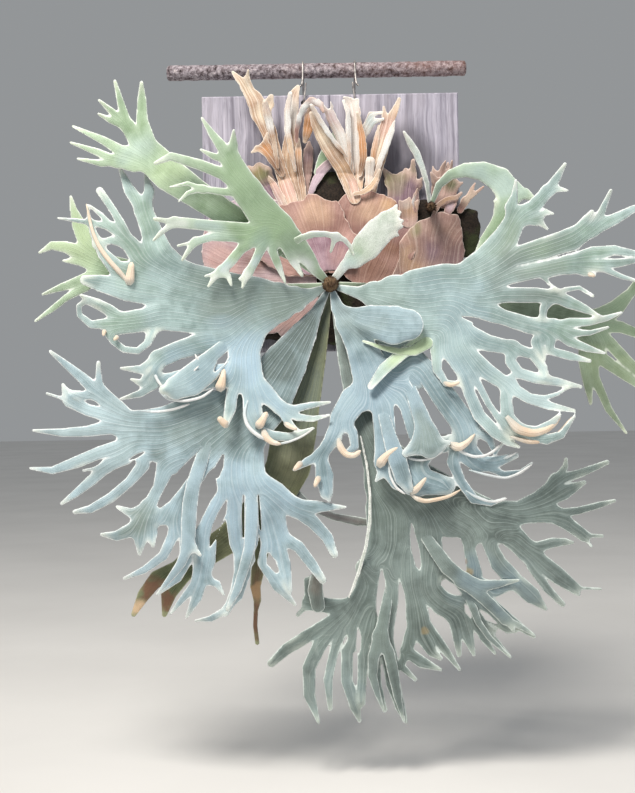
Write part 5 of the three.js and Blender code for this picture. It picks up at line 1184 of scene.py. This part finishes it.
def shield(name, outline, stand, fan_from, finish, seed, tones_and_shading=(), spots=()):
    """A shield leaf over the roots. Its veins fan out from the place fan_from."""
    def edge_of(x, z):
        frayed = 1.3 * waves(x, z, 6, seed) + 1.6 * waves(x, z, 17, seed + 1)
        return outline_edge(outline, x, z) + frayed

    def depth_of(x, z, inner, values):
        ruffle = np.exp(-inner / 7) * (2.2 * waves(x, z, 13, seed + 2) + 1.2)
        crinkle = 0.7 * waves(x, z, 24, seed + 3) + 0.3 * waves(x, z, 8, seed + 4)
        return roots_depth(x, z) + stand + ruffle + crinkle

    def fields_of(x, z, edge):
        reach = np.maximum(np.hypot(x - fan_from[0], z - fan_from[1]), 6)
        turn = np.arctan2(x - fan_from[0], z - fan_from[1]) + 0.04 * waves(x, z, 30, seed + 5)
        return {"flow": turn * FAN + 17, "level": np.log2(reach / FAN / SHIELD_VEINS)}

    corners = np.array(outline)
    seen, depth, values, faces, in_front = grown(edge_of, corners.min(0) - 6, corners.max(0) + 6, depth_of,
        PAPERY, PITCH, fields_of)
    return build(name, place(seen, depth), faces, [finish], None, values,
        {"tone": tint_of(seen, tones_and_shading, 1.5), "tint": tint_of(seen, spots, 1.8)})


SHIELD_LOOKS = {  # where its veins fan out from, finish, tones
    "shield_left": ([-3,-72], "lilac", (
    (-92,-45,22, "brown", 0.8), (-130,-45,34, "pink", 0.6), (-115,22,22, "lilac", 0.8),
    (-60,-110,50, "pink", 0.7), (-70,20,20, "plum", 0.6))),
    "shield_right_back": ([20,-140], "pink", (
    (62,20,16, "tan", 0.8), (45,10,24, "peach", 0.4), (70,-30,36, "brown", 0.75), (45,-50,36, "brown", 0.6),
    (80,-10,20, "plum", 0.6))),
    "shield_front": ([-3,-72], "pink", (
    (-20,12,24, "peach", 0.4), (-70,-20,34, "lilac", 0.6), (20,-20,20, "pink", 0.8),
    (-40,-10,30, "brown", 0.25))),
    "shield_right": ([112,-210], "brown", (
    (84,-18,16, "pink", 0.8), (96,-8,14, "olive", 0.7), (92,-40,26, "tan", 0.5), (116,-32,24, "plum", 0.6),
    (130,-12,24, "brown", 0.4), (130,6,14, "pink", 0.5), (140,-50,30, "plum", 0.4))),
    "shield_young": ([-3,-72], "mauve", ((-8,-30,24, "plum", 0.25), (10,-35,20, "pink", 0.5))),
}
for number, (name, leaf_data) in enumerate(SHIELDS.items()):
    fan_from, finish, tones_and_shading = SHIELD_LOOKS[name]
    piece = shield("fine_" + name, leaf_data["outline"], leaf_data["stand"], fan_from,
        DRY[finish], 400 + 10 * number, tones_and_shading)
    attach(piece, "root")
    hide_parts(name)
    print(name, len(piece.data.polygons), "faces")

# %% [markdown]
# ## Torn and folded lobes
# The old shields send up lobes that have dried, split and folded. What looks like one lobe is several strips,
# pale where their felt still shows and orange or brown where it has gone, and their edges roll towards the
# light. Each strip is a small leaf of its own, and the first of each group takes the place of the lobe's solid.
# %% Strips of the dry lobes
# Each strip: how far it stands before its lobe, finish, cup, tones and tree. No tree means the lobe's own tree.
STRIPS = {
    "dry_lobe_left": (
    (0, "tan", -3, ((-74,128,20, "cream", 0.9), (-100,160,22, "cream", 0.8), (-76,92,16, "orange", 0.6),
    (-52,40,20, "pink", 0.8)),
    [[-45,18,14],[-50,35,17],[-58,60,15,2],[-66,85,16,5],[-73,110,18,8],[-81,130,22,10],[[-88,145,20,12],
    [-97,160,13,12],[[-106,170,8,10],[-113,178,4,8]],[[-96,170,6,14],[-95,180,3,16]]],[[-71,140,12,9],
    [-69,148,7,9]]]),
    (1.6, "tan", 2.5, ((-72,118,18, "white", 0.9), (-68,140,16, "lilac", 0.6)),
    [[-62,66,4,6],[-65,90,6,9],[-70,112,9,12],[-74,130,10,14],[-76,143,6,14]]),
    (3, "tan", -2.5, ((-76,92,20, "orange", 1), (-64,66,14, "brown", 0.8)),
    [[-58,58,8],[-66,74,13,3],[-76,88,13,6],[[-86,88,8,8],[-92,84,3,8]],[[-76,98,7,8],[-74,106,3,8]]]),
    (-2, "brown", 2, ((-84,60,20, "olive", 0.9), (-90,66,10, "ochre", 0.6), (-74,40,16, "plum", 0.9)),
    [[-58,20,14],[-70,38,22],[-82,54,26,3],[[-96,64,9,6]],[[-84,66,13,5]],[[-74,62,10,5]]]),
    (0.8, "tan", 1.5, ((-62,44,20, "pink", 0.9), (-70,30,16, "lilac", 0.9)),
    [[-54,14,10],[-60,30,10,1],[-68,46,8,3],[-78,60,4,4]])),
    "dry_lobe_brown": (
    (0, "tan", -2, ((-44,40,22, "brown", 0.6), (-48,70,24, "peach", 0.5), (-47,130,26, "white", 0.8)),
    [[-40,20,14],[-43,36,17],[-48,56,18],[-50,80,17,6],[-46,105,14,8],[-45,130,16,10],[-42,150,12,12],
    [-37,160,5,12]]),
    (2.2, "cream", 3, ((-48,120,20, "white", 0.9), (-44,92,18, "peach", 0.8)),
    [[-42,62,4,8],[-46,84,7,10],[-50,108,8,13],[-50,134,7,16],[-46,152,4,18]]),
    (1, "tan", -2, ((-36,60,20, "brown", 0.9), (-34,84,14, "orange", 0.7)),
    [[-32,24,6],[-34,44,8,2],[-37,64,8,4],[-38,84,8,7],[-37,98,4,8]]),
    (-1.5, "brown", 2, ((-28,84,16, "plum", 0.6),), [[-30,26,6],[-29,48,9],[-27,68,12],[-26,84,12],
    [-25,94,4]]),
    (-1, "lilac", 2, ((-16,52,24, "lilac", 0.7),),
    [[-28,26,5],[-21,44,8,2],[-12,60,12,4],[1,72,10,6],[8,79,4,7]])),
    "dry_lobe_arched": (
    (0, "tan", -3, ((-8,100,22, "cream", 0.8), (12,62,18, "tan", 0.6), (24,40,16, "pink", 0.6)),
    [[27,28,14],[21,46,18],[13,64,18,8],[1,84,19,13],[-9,101,17,17],[-17,117,12,21],[-22,128,5,23]]),
    (3.5, "cream", 2, ((-4,104,30, "white", 1),), [[18,78,3,10],[8,90,5,15],[-4,107,6,20],[-14,124,6,24],
    [-22,138,4,26]]),
    (2, "pink", 2.5, ((-34,128,22, "white", 1), (-14,142,16, "white", 0.8)),
    [[-40,96,5,8],[-39,110,6,12],[-36,124,7,17],[-30,136,8,22],[-21,143,9,25],[-11,139,7,25],[-8,130,3,24]]),
    (-1, "tan", 2, ((-24,118,20, "orange", 0.9), (-24,134,14, "pink", 0.8)), [[-30,96,6,8],[-26,110,12,13],
    [-23,124,15,18],[-22,136,8,20]]),
    (-2, "tan", 2, ((8,60,30, "tan", 0.5),), [[22,30,5,3],[16,48,6,5],[9,64,6,8],[2,78,5,10]])),
    "dry_lobe_cream": (
    (0, "cream", -2.5, ((27,90,40, "white", 0.7), (26,40,20, "peach", 0.9)),
    [[27,22,13],[28,46,20],[27,66,26,2],[26,90,20,4],[27,110,16,6],[28,128,15,8],[[23,142,10,8],
    [17,146,4,8]],[[32,143,5,10]]]),
    (2.4, "cream", 2.5, ((0,125,30, "lilac", 0.6), (14,98,20, "white", 0.8)),
    [[24,60,8,3],[18,84,12,6],[10,106,13,8],[1,124,12,10],[[-8,136,5,12],[-14,144,3,12]],[[2,136,4,11],
    [1,141,2,12]]]),
    (3.4, "tan", -2, ((37,95,24, "orange", 0.9), (40,70,14, "brown", 0.8)),
    [[34,56,6,2],[38,76,9,5],[37,98,9,8],[34,116,7,10],[32,128,3,11]]),
    (1.5, "cream", 2, ((22,115,24, "white", 1),), [[22,60,4,6],[22,84,5,9],[21,108,6,12],[21,130,6,14],
    [16,142,4,14]]),
    (0.5, "cream", 1.5, ((50,122,26, "silver", 1),), [[36,92,6,4],[41,108,9,7],[[50,117,8,10],[62,120,3,12]],
    [[48,126,7,10],[60,128,3,12]]]),
    (4.5, "cream", 2, ((46,60,20, "white", 0.6),), [[44,44,8,4],[45,56,11,6],[46,71,11,8]])),
    "dry_lobe_right": (
    (0, "tan", -2.5, ((60,118,26, "pink", 0.7), (56,80,24, "cream", 0.6), (72,130,16, "peach", 0.6)),
    [[44,22,12],[47,44,16,4],[53,66,17,8],[60,90,18,11],[66,110,17,14],[[75,128,9,18],[81,143,4,19]],
    [[64,124,8,16],[63,134,3,17]]]),
    (2.5, "cream", 2, ((64,95,40, "white", 1),), [[52,54,5,9],[58,72,7,12],[66,92,8,15],[72,108,7,18],
    [75,117,3,19]]),
    (1, "tan", 2, ((50,84,20, "orange", 0.5), (48,98,14, "pink", 0.6)), [[46,62,5,5],[50,80,7,8],
    [54,98,7,10],[57,112,4,12]])),
    "shield_lobe_jagged": (
    (0, "brown", 3, ((72,50,22, "olive", 0.8), (96,62,14, "moss", 0.7), (84,34,22, "plum", 0.8),
    (84,54,12, "olive", 0.6)), None), (4.5, "brown", -2, ((92,18,20, "tan", 0.6), (86,22,8, "white", 0.5)),
    [[90,4,22],[90,14,22,1],[[82,20,5,2],[79,24,2,2]],[[90,23,5,2],[91,27,2,2]],[[98,18,6,2],[101,24,2,2]]]),
    (5.5, "pink", -2, ((94,26,12, "white", 0.7),), [[98,12,4],[95,22,4,2],[98,31,4,4],[101,38,2,5]])),
    "shield_lobe_far_right": (
    (0, "brown", 2.5, ((140,46,14, "moss", 0.9), (128,48,16, "brown", 0.5)), None),
    (2.5, "brown", -2, ((136,26,24, "tan", 0.6),), [[118,6,5],[124,18,6,2],[134,25,6,3],[146,27,5,4],
    [152,32,3,4]]),
    (2, "pink", -2, ((140,18,14, "lilac", 0.8),), [[134,8,8],[138,15,12,1],[143,21,8,2],[147,26,3,2]]),
    (-1, "brown", 2, ((130,60,26, "brown", 0.4),), [[124,34,16],[128,48,18],[[120,58,5],[119,64,2]],
    [[131,62,6],[134,70,2]],[[140,60,5],[142,70,2]]])),
    "dead_strip": ((0, "pink", -1.5, ((160,28,20, "cream", 0.6),), None),),
}
for number, (name, strips) in enumerate(STRIPS.items()):
    lobe = LOBES[name]
    for part, (proud, finish, cup, tones_and_shading, tree) in enumerate(strips):
        stand, cup = lobe["stand"] + proud, 0.6 * cup
        piece = leaf(("fine_" + name) if not part else name + "_strip_" + str(part), tree or lobe["tree"],
            lambda x, z, stand=stand: roots_depth(x, z) + stand, DRY[finish], DRY[finish], PAPERY, cup, 3,
            6, 4, 500 + 20 * number + part, tones_and_shading, (), 0.3, 0.6, 1.0, 0.4)
        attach(piece, "root")
        if not part:
            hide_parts(name)
    print(name, len(strips), "strips")

# Two pieces of a green leaf show behind the lobes, and a lobe of the shield at the back has a rolled rim.
for name, tree, stand, finish, tones_and_shading in (
        ("green_leaf_behind", [[-14, 60, 12], [-7, 76, 16], [1, 94, 14], [9, 111, 4]], 5, FINISHES["green"],
        ((-4, 90, 30, "leafy", 0.5), (6, 106, 12, "white", 0.6))),
        ("rolled_rim", [[27, 33, 4], [37, 35, 6, 2], [46, 41, 7, 4], [53, 51, 6, 5], [57, 61, 3, 5]], 9,
        DRY["tan"], ((46, 42, 20, "peach", 0.9), (56, 58, 10, "orange", 0.6)))):
    piece = leaf(name, tree, lambda x, z, stand=stand: roots_depth(x, z) + stand, finish, finish, PAPERY,
        -1.5, 2, 4, 4, 700 + stand, tones_and_shading, (), 0.2, 0.5, 1.0, 0.3)
    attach(piece, "root")

# %% [markdown]
# ## Roots, moss and buds
# Between the leaves and the board lies a mat of wiry roots, old shields and moss. It shows as a dark slab at
# the right edge and in the gaps. The buds in the middle are covered with brown papery scales. A dome that
# follows the solid, roughened by noise in its mesh, carries the mat, and seeded scales give the buds their
# fuzz.
# %% Finish of roots, fibres and scales


def fibre_finish(name, dark, light, patch, size, patch_share):
    """Matted fibre: two browns in specks of that size in millimetres, and patches of a third colour."""
    material, tree, shader = new_material(name)
    spot = add_node(tree, "TexCoord").outputs["Object"]
    fine, broad = noise(tree, spot, size, 6, 0.7), noise(tree, spot, 28, 3)
    colour = ramp(tree, fine, (0.35, dark), (0.7, light))
    colour = blend(tree, span(tree, broad, 0.5, 0.62, 0, patch_share), colour, patch)
    dress(tree, shader, colour, 0.95, height=fine, strength=0.9, depth=0.002)
    return material


root_mat = fibre_finish("root_fibre_and_moss", "#120d0a", "#3d3026", "#35401f", 2.2, 0.7)
scale_finish = fibre_finish("brown_bud_scales", "#21160f", "#6b4e38", "#a88a68", 1.6, 0.4)

ROOT_OUTLINE = [[150,14],[172,12],[174,-12],[169,-38],[150,-48],[149,-80],[132,-112],[96,-134],[50,-142],
[0,-144],[-50,-141],[-100,-131],[-134,-108],[-149,-70],[-150,-30],[-147,2],[-128,22],[-90,31],[-40,34],
[-36,48],[-16,60],[8,58],[18,42],[30,34],[60,32],[110,24]]


def mat_edge(x, z):
    return outline_edge(ROOT_OUTLINE, x, z) + 1.8 * waves(x, z, 9, 700) + 1.2 * waves(x, z, 4, 701)


def mat_depth(x, z, inner):
    round_off = np.clip(inner / 5, 0, 1) ** 0.5
    rough = 1.1 * waves(x, z, 12, 702) + 0.8 * waves(x, z, 4.5, 703) - 1.4
    return 0.4 + (roots_depth(x, z) - 0.4 + rough) * (0.25 + 0.75 * round_off)


corners = np.array(ROOT_OUTLINE)
x, z = np.meshgrid(np.arange(corners[:, 0].min() - 6, corners[:, 0].max() + 6, 2.4),
    np.arange(corners[:, 1].min() - 6, corners[:, 1].max() + 6, 2.4))
edge = mat_edge(x, z)
faces, first, second, share = cut_grid(edge)
between = lambda grid: grid.reshape(-1)[first] * (1 - share) + grid.reshape(-1)[second] * share
seen = np.column_stack([between(x), between(z)])
inner = np.where(first != second, 0, -between(edge))
front = mat_depth(seen[:, 0], seen[:, 1], inner)
count = len(seen)
sides = {}
for face in faces:
    for a, b in zip(face, face[1:] + face[:1]):
        sides[(a, b)] = True
rim = [(a, b) for a, b in sides if (b, a) not in sides]
behind = [[i + count for i in reversed(f)] for f in faces]
walls = [[b, a, a + count, b + count] for a, b in rim]
root_piece = build("root_mat", np.concatenate([place(seen, front), place(seen, np.full(count, GAP))]),
    faces + behind + walls, [root_mat])
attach(root_piece, "root")
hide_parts("root_ball")
print("root mat:", len(root_piece.data.polygons), "faces")


def bud_piece(name, bud, seed, scales):
    """A rough round stem in front of the roots, covered with pointed scales, as one mesh."""
    dice = np.random.default_rng(seed)
    around, rings = 40, 46
    vertices = []
    for r in range(rings):
        share = r / (rings - 1)
        depth = bud["foot"] + share * (bud["tip"] - bud["foot"])
        over = max(0.0, (depth - bud["shoulder"]) / (bud["tip"] - bud["shoulder"]))
        radius = bud["radius"] * math.sqrt(max(1 - over ** 2, 0.0)) if over else bud["radius"]
        for i in range(around):
            angle = 2 * math.pi * i / around
            rough = 0.84 + 0.1 * math.sin(5 * angle + depth / 3) + dice.uniform(-0.06, 0.06)
            vertices.append((bud["x"] + radius * rough * math.cos(angle),
                bud["z"] + radius * rough * math.sin(angle), depth))
    faces = wrapped(rings, around)
    for _ in range(scales):  # a scale is a narrow pointed blade that leans outward and forward
        angle, depth = dice.uniform(0, 2 * math.pi), dice.uniform(bud["foot"] + 8, bud["tip"] + 1)
        over = max(0.0, (depth - bud["shoulder"]) / (bud["tip"] - bud["shoulder"]))
        radius = bud["radius"] * math.sqrt(max(1 - min(over, 1) ** 2, 0.02))
        radius *= dice.uniform(0.2, 1) if over else 1
        length, width = dice.uniform(3, 8), dice.uniform(0.3, 0.9)
        out = np.array([math.cos(angle), math.sin(angle)])
        across = np.array([-math.sin(angle), math.cos(angle)])
        foot = np.array([bud["x"], bud["z"]]) + out * radius * 0.78
        tip = foot + out * dice.uniform(0.8, 3.6) + across * dice.uniform(-1.8, 1.8)
        start = len(vertices)
        for p, d in ((foot - across * width, depth), (foot + across * width, depth),
                (foot + out * 0.5, depth - 0.8), (tip, depth + length)):
            vertices.append((p[0], p[1], d))
        faces += [[start, start + 1, start + 3], [start + 1, start + 2, start + 3],
            [start + 2, start, start + 3], [start, start + 2, start + 1]]
    points = np.array(vertices)
    return build(name, place(points[:, :2], points[:, 2]), faces, [scale_finish])


for name, bud, scales in (("crown", CROWN, 420), ("side_bud", BUD, 160)):
    piece = bud_piece("scaly_" + name, bud, 800 + scales, scales)
    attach(piece, "root")
    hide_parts(name)
    print(name, len(piece.data.polygons), "faces")

# %% [markdown]
# ## The board
# The planks are softwood that has weathered outdoors: sun and rain have taken the brown out and left a silvery
# lavender grey, with the soft grain washed away between the hard lines. Growth lines are 2 to 4 mm apart and
# run up the board, so a noise texture is stretched along z. Bare grey wood is rough, with an IOR near 1.5.
# %% Finish of the planks and battens
# Painted shade on the board: x, z, size and strength of spots round the plant where the wood is darkened.
PAINTED_SHADE_ON_BOARD = ((82,78,48,0.8), (-10,60,70,0.7), (-60,60,60,0.4), (110,40,60,0.5), (-40,-120,120,0.5))


def weathered_wood(name, along):
    """Grey weathered softwood. along is the axis, 0 or 2, that the grain runs along."""
    material, tree, shader = new_material(name)
    spot = add_node(tree, "TexCoord").outputs["Object"]
    squeeze = lambda wide, long: tuple(1000 / (long if axis == along else wide) for axis in range(3))
    bend = add_node(tree, "TexNoise", {"Vector": spot, "Scale": 1000 / 70, "Detail": 2.0}).outputs["Color"]
    bent = add_node(tree, "VectorMath", {0: spot, 1: add_node(
        tree, "VectorMath", {0: bend, "Scale": 0.009},
        operation="SCALE").outputs["Vector"]}).outputs["Vector"]
    grain = lambda place, wide, long, detail, roughness=0.5: noise(tree, add_node(
        tree, "Mapping", {"Vector": place, "Scale": squeeze(wide, long)}).outputs["Vector"], 1000, detail,
        roughness)
    growth, fibres = grain(bent, 5, 260, 3, 0.6), grain(bent, 1.1, 45, 4, 0.65)
    stains = grain(spot, 34, 90, 3)
    colour = ramp(tree, growth, (0.3, "#807c88"), (0.48, "#a5a1af"), (0.66, "#c6c1ce"))
    colour = blend(tree, span(tree, fibres, 0.5, 0.74, 0, 0.65), colour, "#5a5560")
    for x, z, size, strength in PAINTED_SHADE_ON_BOARD:  # painted shade: near the plant, where its leaves shade it, the wood is darker
        away = add_node(tree, "VectorMath", {0: spot, 1: (x * MM, BOARD_FRONT, BOARD_MIDDLE + z * MM)},
            operation="DISTANCE").outputs["Value"]
        shade_share = span(tree, away, size * MM * 0.45, size * MM, strength, 0, "SMOOTHSTEP")
        colour = blend(tree, shade_share, colour, "#57545c")
    colour = blend(tree, span(tree, stains, 0.5, 0.7, 0, 0.45), colour, "#cbc4cf")
    height = add_node(tree, "Math", {0: fibres, 1: 0.6, 2: growth}, operation="MULTIPLY_ADD").outputs[0]
    dress(tree, shader, colour, 0.88, height=height, strength=0.7, depth=0.0012)
    shader.inputs["IOR"].default_value = 1.5
    return material


upright_grain = weathered_wood("weathered_softwood_upright", 2)
level_grain = weathered_wood("weathered_softwood_level", 0)
WOODS = {"plank_left": upright_grain, "plank_right": upright_grain, "batten_upper": level_grain,
    "batten_lower": level_grain}
for name, finish in WOODS.items():
    for material_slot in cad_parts[name].material_slots:
        material_slot.material = finish
print("wood on", len(WOODS), "solids")

# %% [markdown]
# ## Bar, wires and screws
# The bar is mild steel that has rusted outdoors for years: a skin of brown oxide with pits and scabs. Rust
# isn't a metal to the eye, so most of it is matt and not metallic. Pits a few millimetres wide go into the mesh
# itself, finer grain into the bump. The wires are galvanised steel, dull and pale grey, and are swept along
# their path.
# %% Rusty bar
BAR = {"diameter": 18, "left": -191, "right": 161, "height": 180.5, "depth": -10}
rust, tree, shader = new_material("rusted_mild_steel")
spot = add_node(tree, "TexCoord").outputs["Object"]
scabs, grain = noise(tree, spot, 5, 6, 0.7), noise(tree, spot, 1.6, 4)
broad = noise(tree, spot, 60, 3)
colour = ramp(tree, scabs, (0.35, "#2b2226"), (0.43, "#766a6e"), (0.55, "#a49ba2"), (0.7, "#d3c8c8"))
along = add_node(tree, "SeparateXYZ", {0: spot}).outputs["X"]  # the right end is redder and darker
reddish = add_node(tree, "Math", {0: broad, 1: 0.5, 2: along}, operation="MULTIPLY_ADD").outputs[0]
colour = blend(tree, span(tree, reddish, 0.15, 0.45, 0, 0.45), colour, "#93695a")
speck = span(tree, grain, 0.3, 0.7, 0.6, 1.3)
colour = add_node(tree, "VectorMath", {0: colour, "Scale": speck}, operation="SCALE").outputs["Vector"]
dress(tree, shader, colour, 0.85, 0.25, grain, 0.9, 0.001)


def to_metres(points):
    """Places (x, depth behind the board's front, z) in millimetres from the board's middle, in metres."""
    points = np.asarray(points, float)
    return np.column_stack([points[:, 0] * MM, BOARD_FRONT + points[:, 1] * MM,
        BOARD_MIDDLE + points[:, 2] * MM])


around, stations = 56, 230
length = BAR["right"] - BAR["left"]
vertices = []
along = np.linspace(0, length, stations)
for s in along:
    blunt = min(s, length - s)
    radius = BAR["diameter"] / 2 - (3 * (1 - math.sqrt(max(1 - (1 - blunt / 3) ** 2, 0))) if blunt < 3 else 0)
    angle = np.linspace(0, 2 * math.pi, around, endpoint=False)
    wrap = np.minimum(angle, 2 * math.pi - angle) * 9  # the same on both sides of the seam
    pits = np.clip(waves(s + wrap * 0.3, wrap, 6, 900) - 0.35, 0, 1) * 1.3 + 0.25 * waves(s + 0 * wrap, wrap,
        3, 901)
    r = radius - pits + 0.3 * waves(s + 0 * wrap, wrap, 25, 902) - 0.2
    vertices.append(np.column_stack([np.full(around, BAR["left"] + s), r * np.cos(angle) - BAR["depth"],
        BAR["height"] + r * np.sin(angle)]))
faces = wrapped(stations, around)
bar_piece = build("rusty_bar", to_metres(np.concatenate(vertices)), faces, [rust])
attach(bar_piece, "root")
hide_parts("hanging_bar")
print("bar:", len(faces), "faces")

# %% Galvanised wires
BOARD_THICK = 20
WIRE = {"diameter": 2.2, "hole": 6, "holeHeight": 141, "across": [-31, 30]}
BEND = 1.2
KNOT = {"low": 154, "middle": 158, "high": 163, "spread": 3.2, "out": 7}
galvanised, tree, shader = new_material("galvanised_wire")
spot = add_node(tree, "TexCoord").outputs["Object"]
bloom = noise(tree, spot, 4, 4)
colour = ramp(tree, bloom, (0.35, "#8b8583"), (0.6, "#c9c4c1"), (0.75, "#8a6a55"))
dress(tree, shader, colour, span(tree, bloom, 0, 1, 0.35, 0.7), 0.85)


def smooth_path(points, step):
    """A smooth line through points in space: centripetal knots, as in the part's source."""
    points = np.asarray(points, float)
    points = np.concatenate([[2 * points[0] - points[1]], points, [2 * points[-1] - points[-2]]])
    line = []
    for p0, p1, p2, p3 in zip(points, points[1:], points[2:], points[3:]):
        t0 = 0.0
        t1 = t0 + np.linalg.norm(p1 - p0) ** 0.5
        t2 = t1 + np.linalg.norm(p2 - p1) ** 0.5
        t3 = t2 + np.linalg.norm(p3 - p2) ** 0.5
        for t in np.linspace(t1, t2, max(2, int(np.linalg.norm(p2 - p1) / step)), endpoint=False):
            a1 = (t1 - t) / (t1 - t0) * p0 + (t - t0) / (t1 - t0) * p1
            a2 = (t2 - t) / (t2 - t1) * p1 + (t - t1) / (t2 - t1) * p2
            a3 = (t3 - t) / (t3 - t2) * p2 + (t - t2) / (t3 - t2) * p3
            b1 = (t2 - t) / (t2 - t0) * a1 + (t - t0) / (t2 - t0) * a2
            b2 = (t3 - t) / (t3 - t1) * a2 + (t - t1) / (t3 - t1) * a3
            line.append((t2 - t) / (t2 - t1) * b1 + (t - t1) / (t2 - t1) * b2)
    line.append(points[-2])
    return np.array(line)


def tube(name, line, radius, sides, material):
    """A tube along a line of points in metres, with closed ends. radius is one number or one for each."""
    radius = np.broadcast_to(radius, len(line))
    heading = np.gradient(line, axis=0)
    heading /= np.linalg.norm(heading, axis=1)[:, None]
    side = np.cross(heading[0], (0.3, 0.5, 0.8))
    vertices = []
    for p, d, r in zip(line, heading, radius):
        side = side - d * (side @ d)
        side /= np.linalg.norm(side)
        other = np.cross(d, side)
        for i in range(sides):
            angle = 2 * math.pi * i / sides
            vertices.append(p + r * (side * math.cos(angle) + other * math.sin(angle)))
    return build(name, np.array(vertices), wrapped(len(line), sides), [material])


thick, mid = WIRE["diameter"] / 2, BOARD_THICK / 2
over = BAR["diameter"] / 2 + GAP + thick
front, back = -thick - GAP - BEND, BOARD_THICK + thick + GAP + BEND
floor_of_hole = WIRE["holeHeight"] - WIRE["hole"] / 2 + thick + GAP
for side_name, across, lean in (("left", WIRE["across"][0], 1), ("right", WIRE["across"][1], -1)):
    spread = KNOT["spread"] * lean
    path = [[across - spread, front - KNOT["out"], KNOT["middle"]],
        [across - spread / 2, front - 2, KNOT["high"] - 2], [across - spread / 5, front, KNOT["high"] + 4]]
    path += [[across, mid + over * math.cos(a), BAR["height"] + over * math.sin(a)]
        for a in np.linspace(math.pi, 0, 7)]
    path += [[across, back, KNOT["high"] + 2], [across, back, WIRE["holeHeight"] + 7],
        [across, back - 2 * BEND, floor_of_hole + 1], [across, mid, floor_of_hole],
        [across, front + 3 * BEND, floor_of_hole + 0.6], [across + lean, front - BEND, floor_of_hole + 5],
        [across + spread * 0.75, front - 1, KNOT["low"]], [across + spread, front - 2, KNOT["high"]]]
    piece = tube("bent_wire_" + side_name, to_metres(smooth_path(path, 1.0)), thick * MM, 12, galvanised)
    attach(piece, "root")
    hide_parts("wire_hanger_" + side_name)
print("wires over the bar at x", WIRE["across"])

# %% Zinc screws
zinc, tree, shader = new_material("zinc_plated_screw")
spot = add_node(tree, "TexCoord").outputs["Object"]
dull = noise(tree, spot, 2, 4)
dress(tree, shader, ramp(tree, dull, (0.4, "#8f9396"), (0.7, "#b9bcbe")), span(tree, dull, 0, 1, 0.25, 0.5),
    1.0)
screws = [solid for name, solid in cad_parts.items() if name.startswith("screw_")]
for solid in screws:
    for material_slot in solid.material_slots:
        material_slot.material = zinc
print("screws:", len(screws))

# %% [markdown]
# ## Floor and light
# The plant hangs well above a plain pale floor, in the light of a large soft lamp above on the left, a weaker
# one on the right and an even sky. Large lamps give the soft shadow edges that daylight under a roof gives.
# %% Floor, lamps and sky
floor_finish, tree, shader = new_material("pale_floor")
spot = add_node(tree, "TexCoord").outputs["Object"]
tone = noise(tree, spot, 1000 / 3, 3)
dress(tree, shader, ramp(tree, tone, (0.3, "#e3e1de"), (0.7, "#ebe9e6")), 0.9)
floor_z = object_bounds()[0][2] - 0.06
reach = 12.0
floor = build("floor", np.array([[-reach, -reach, floor_z], [reach, -reach, floor_z], [reach, reach, floor_z],
    [-reach, reach, floor_z]]), [[0, 1, 2, 3]], [floor_finish], smooth=False)


def lamp(name, at, size, power, colour, target=(0, 0, -0.25)):
    """A square soft lamp that looks at the target."""
    made = bpy.data.objects.new(name, bpy.data.lights.new(name, "AREA"))
    made.data.size, made.data.energy, made.data.color = size, power, linear(colour)[:3]
    made.location = at
    made.rotation_euler = (Vector(target) - Vector(at)).to_track_quat("-Z", "Y").to_euler()
    bpy.context.collection.objects.link(made)
    return made


lamp("key_lamp", (-0.7, -1.5, 1.8), 0.9, 84, "#fffaf2")
lamp("fill_lamp", (1.6, -1.7, 0.5), 1.2, 7, "#eef4ff")
world = bpy.data.worlds.new("sky")
bpy.context.scene.world = world
world.use_nodes = True
background = world.node_tree.nodes["Background"]
background.inputs["Color"].default_value = linear("#e9edf0")
background.inputs["Strength"].default_value = 0.36
bpy.context.scene.view_settings.view_transform = "Standard"
print("floor at z", round(floor_z, 3))
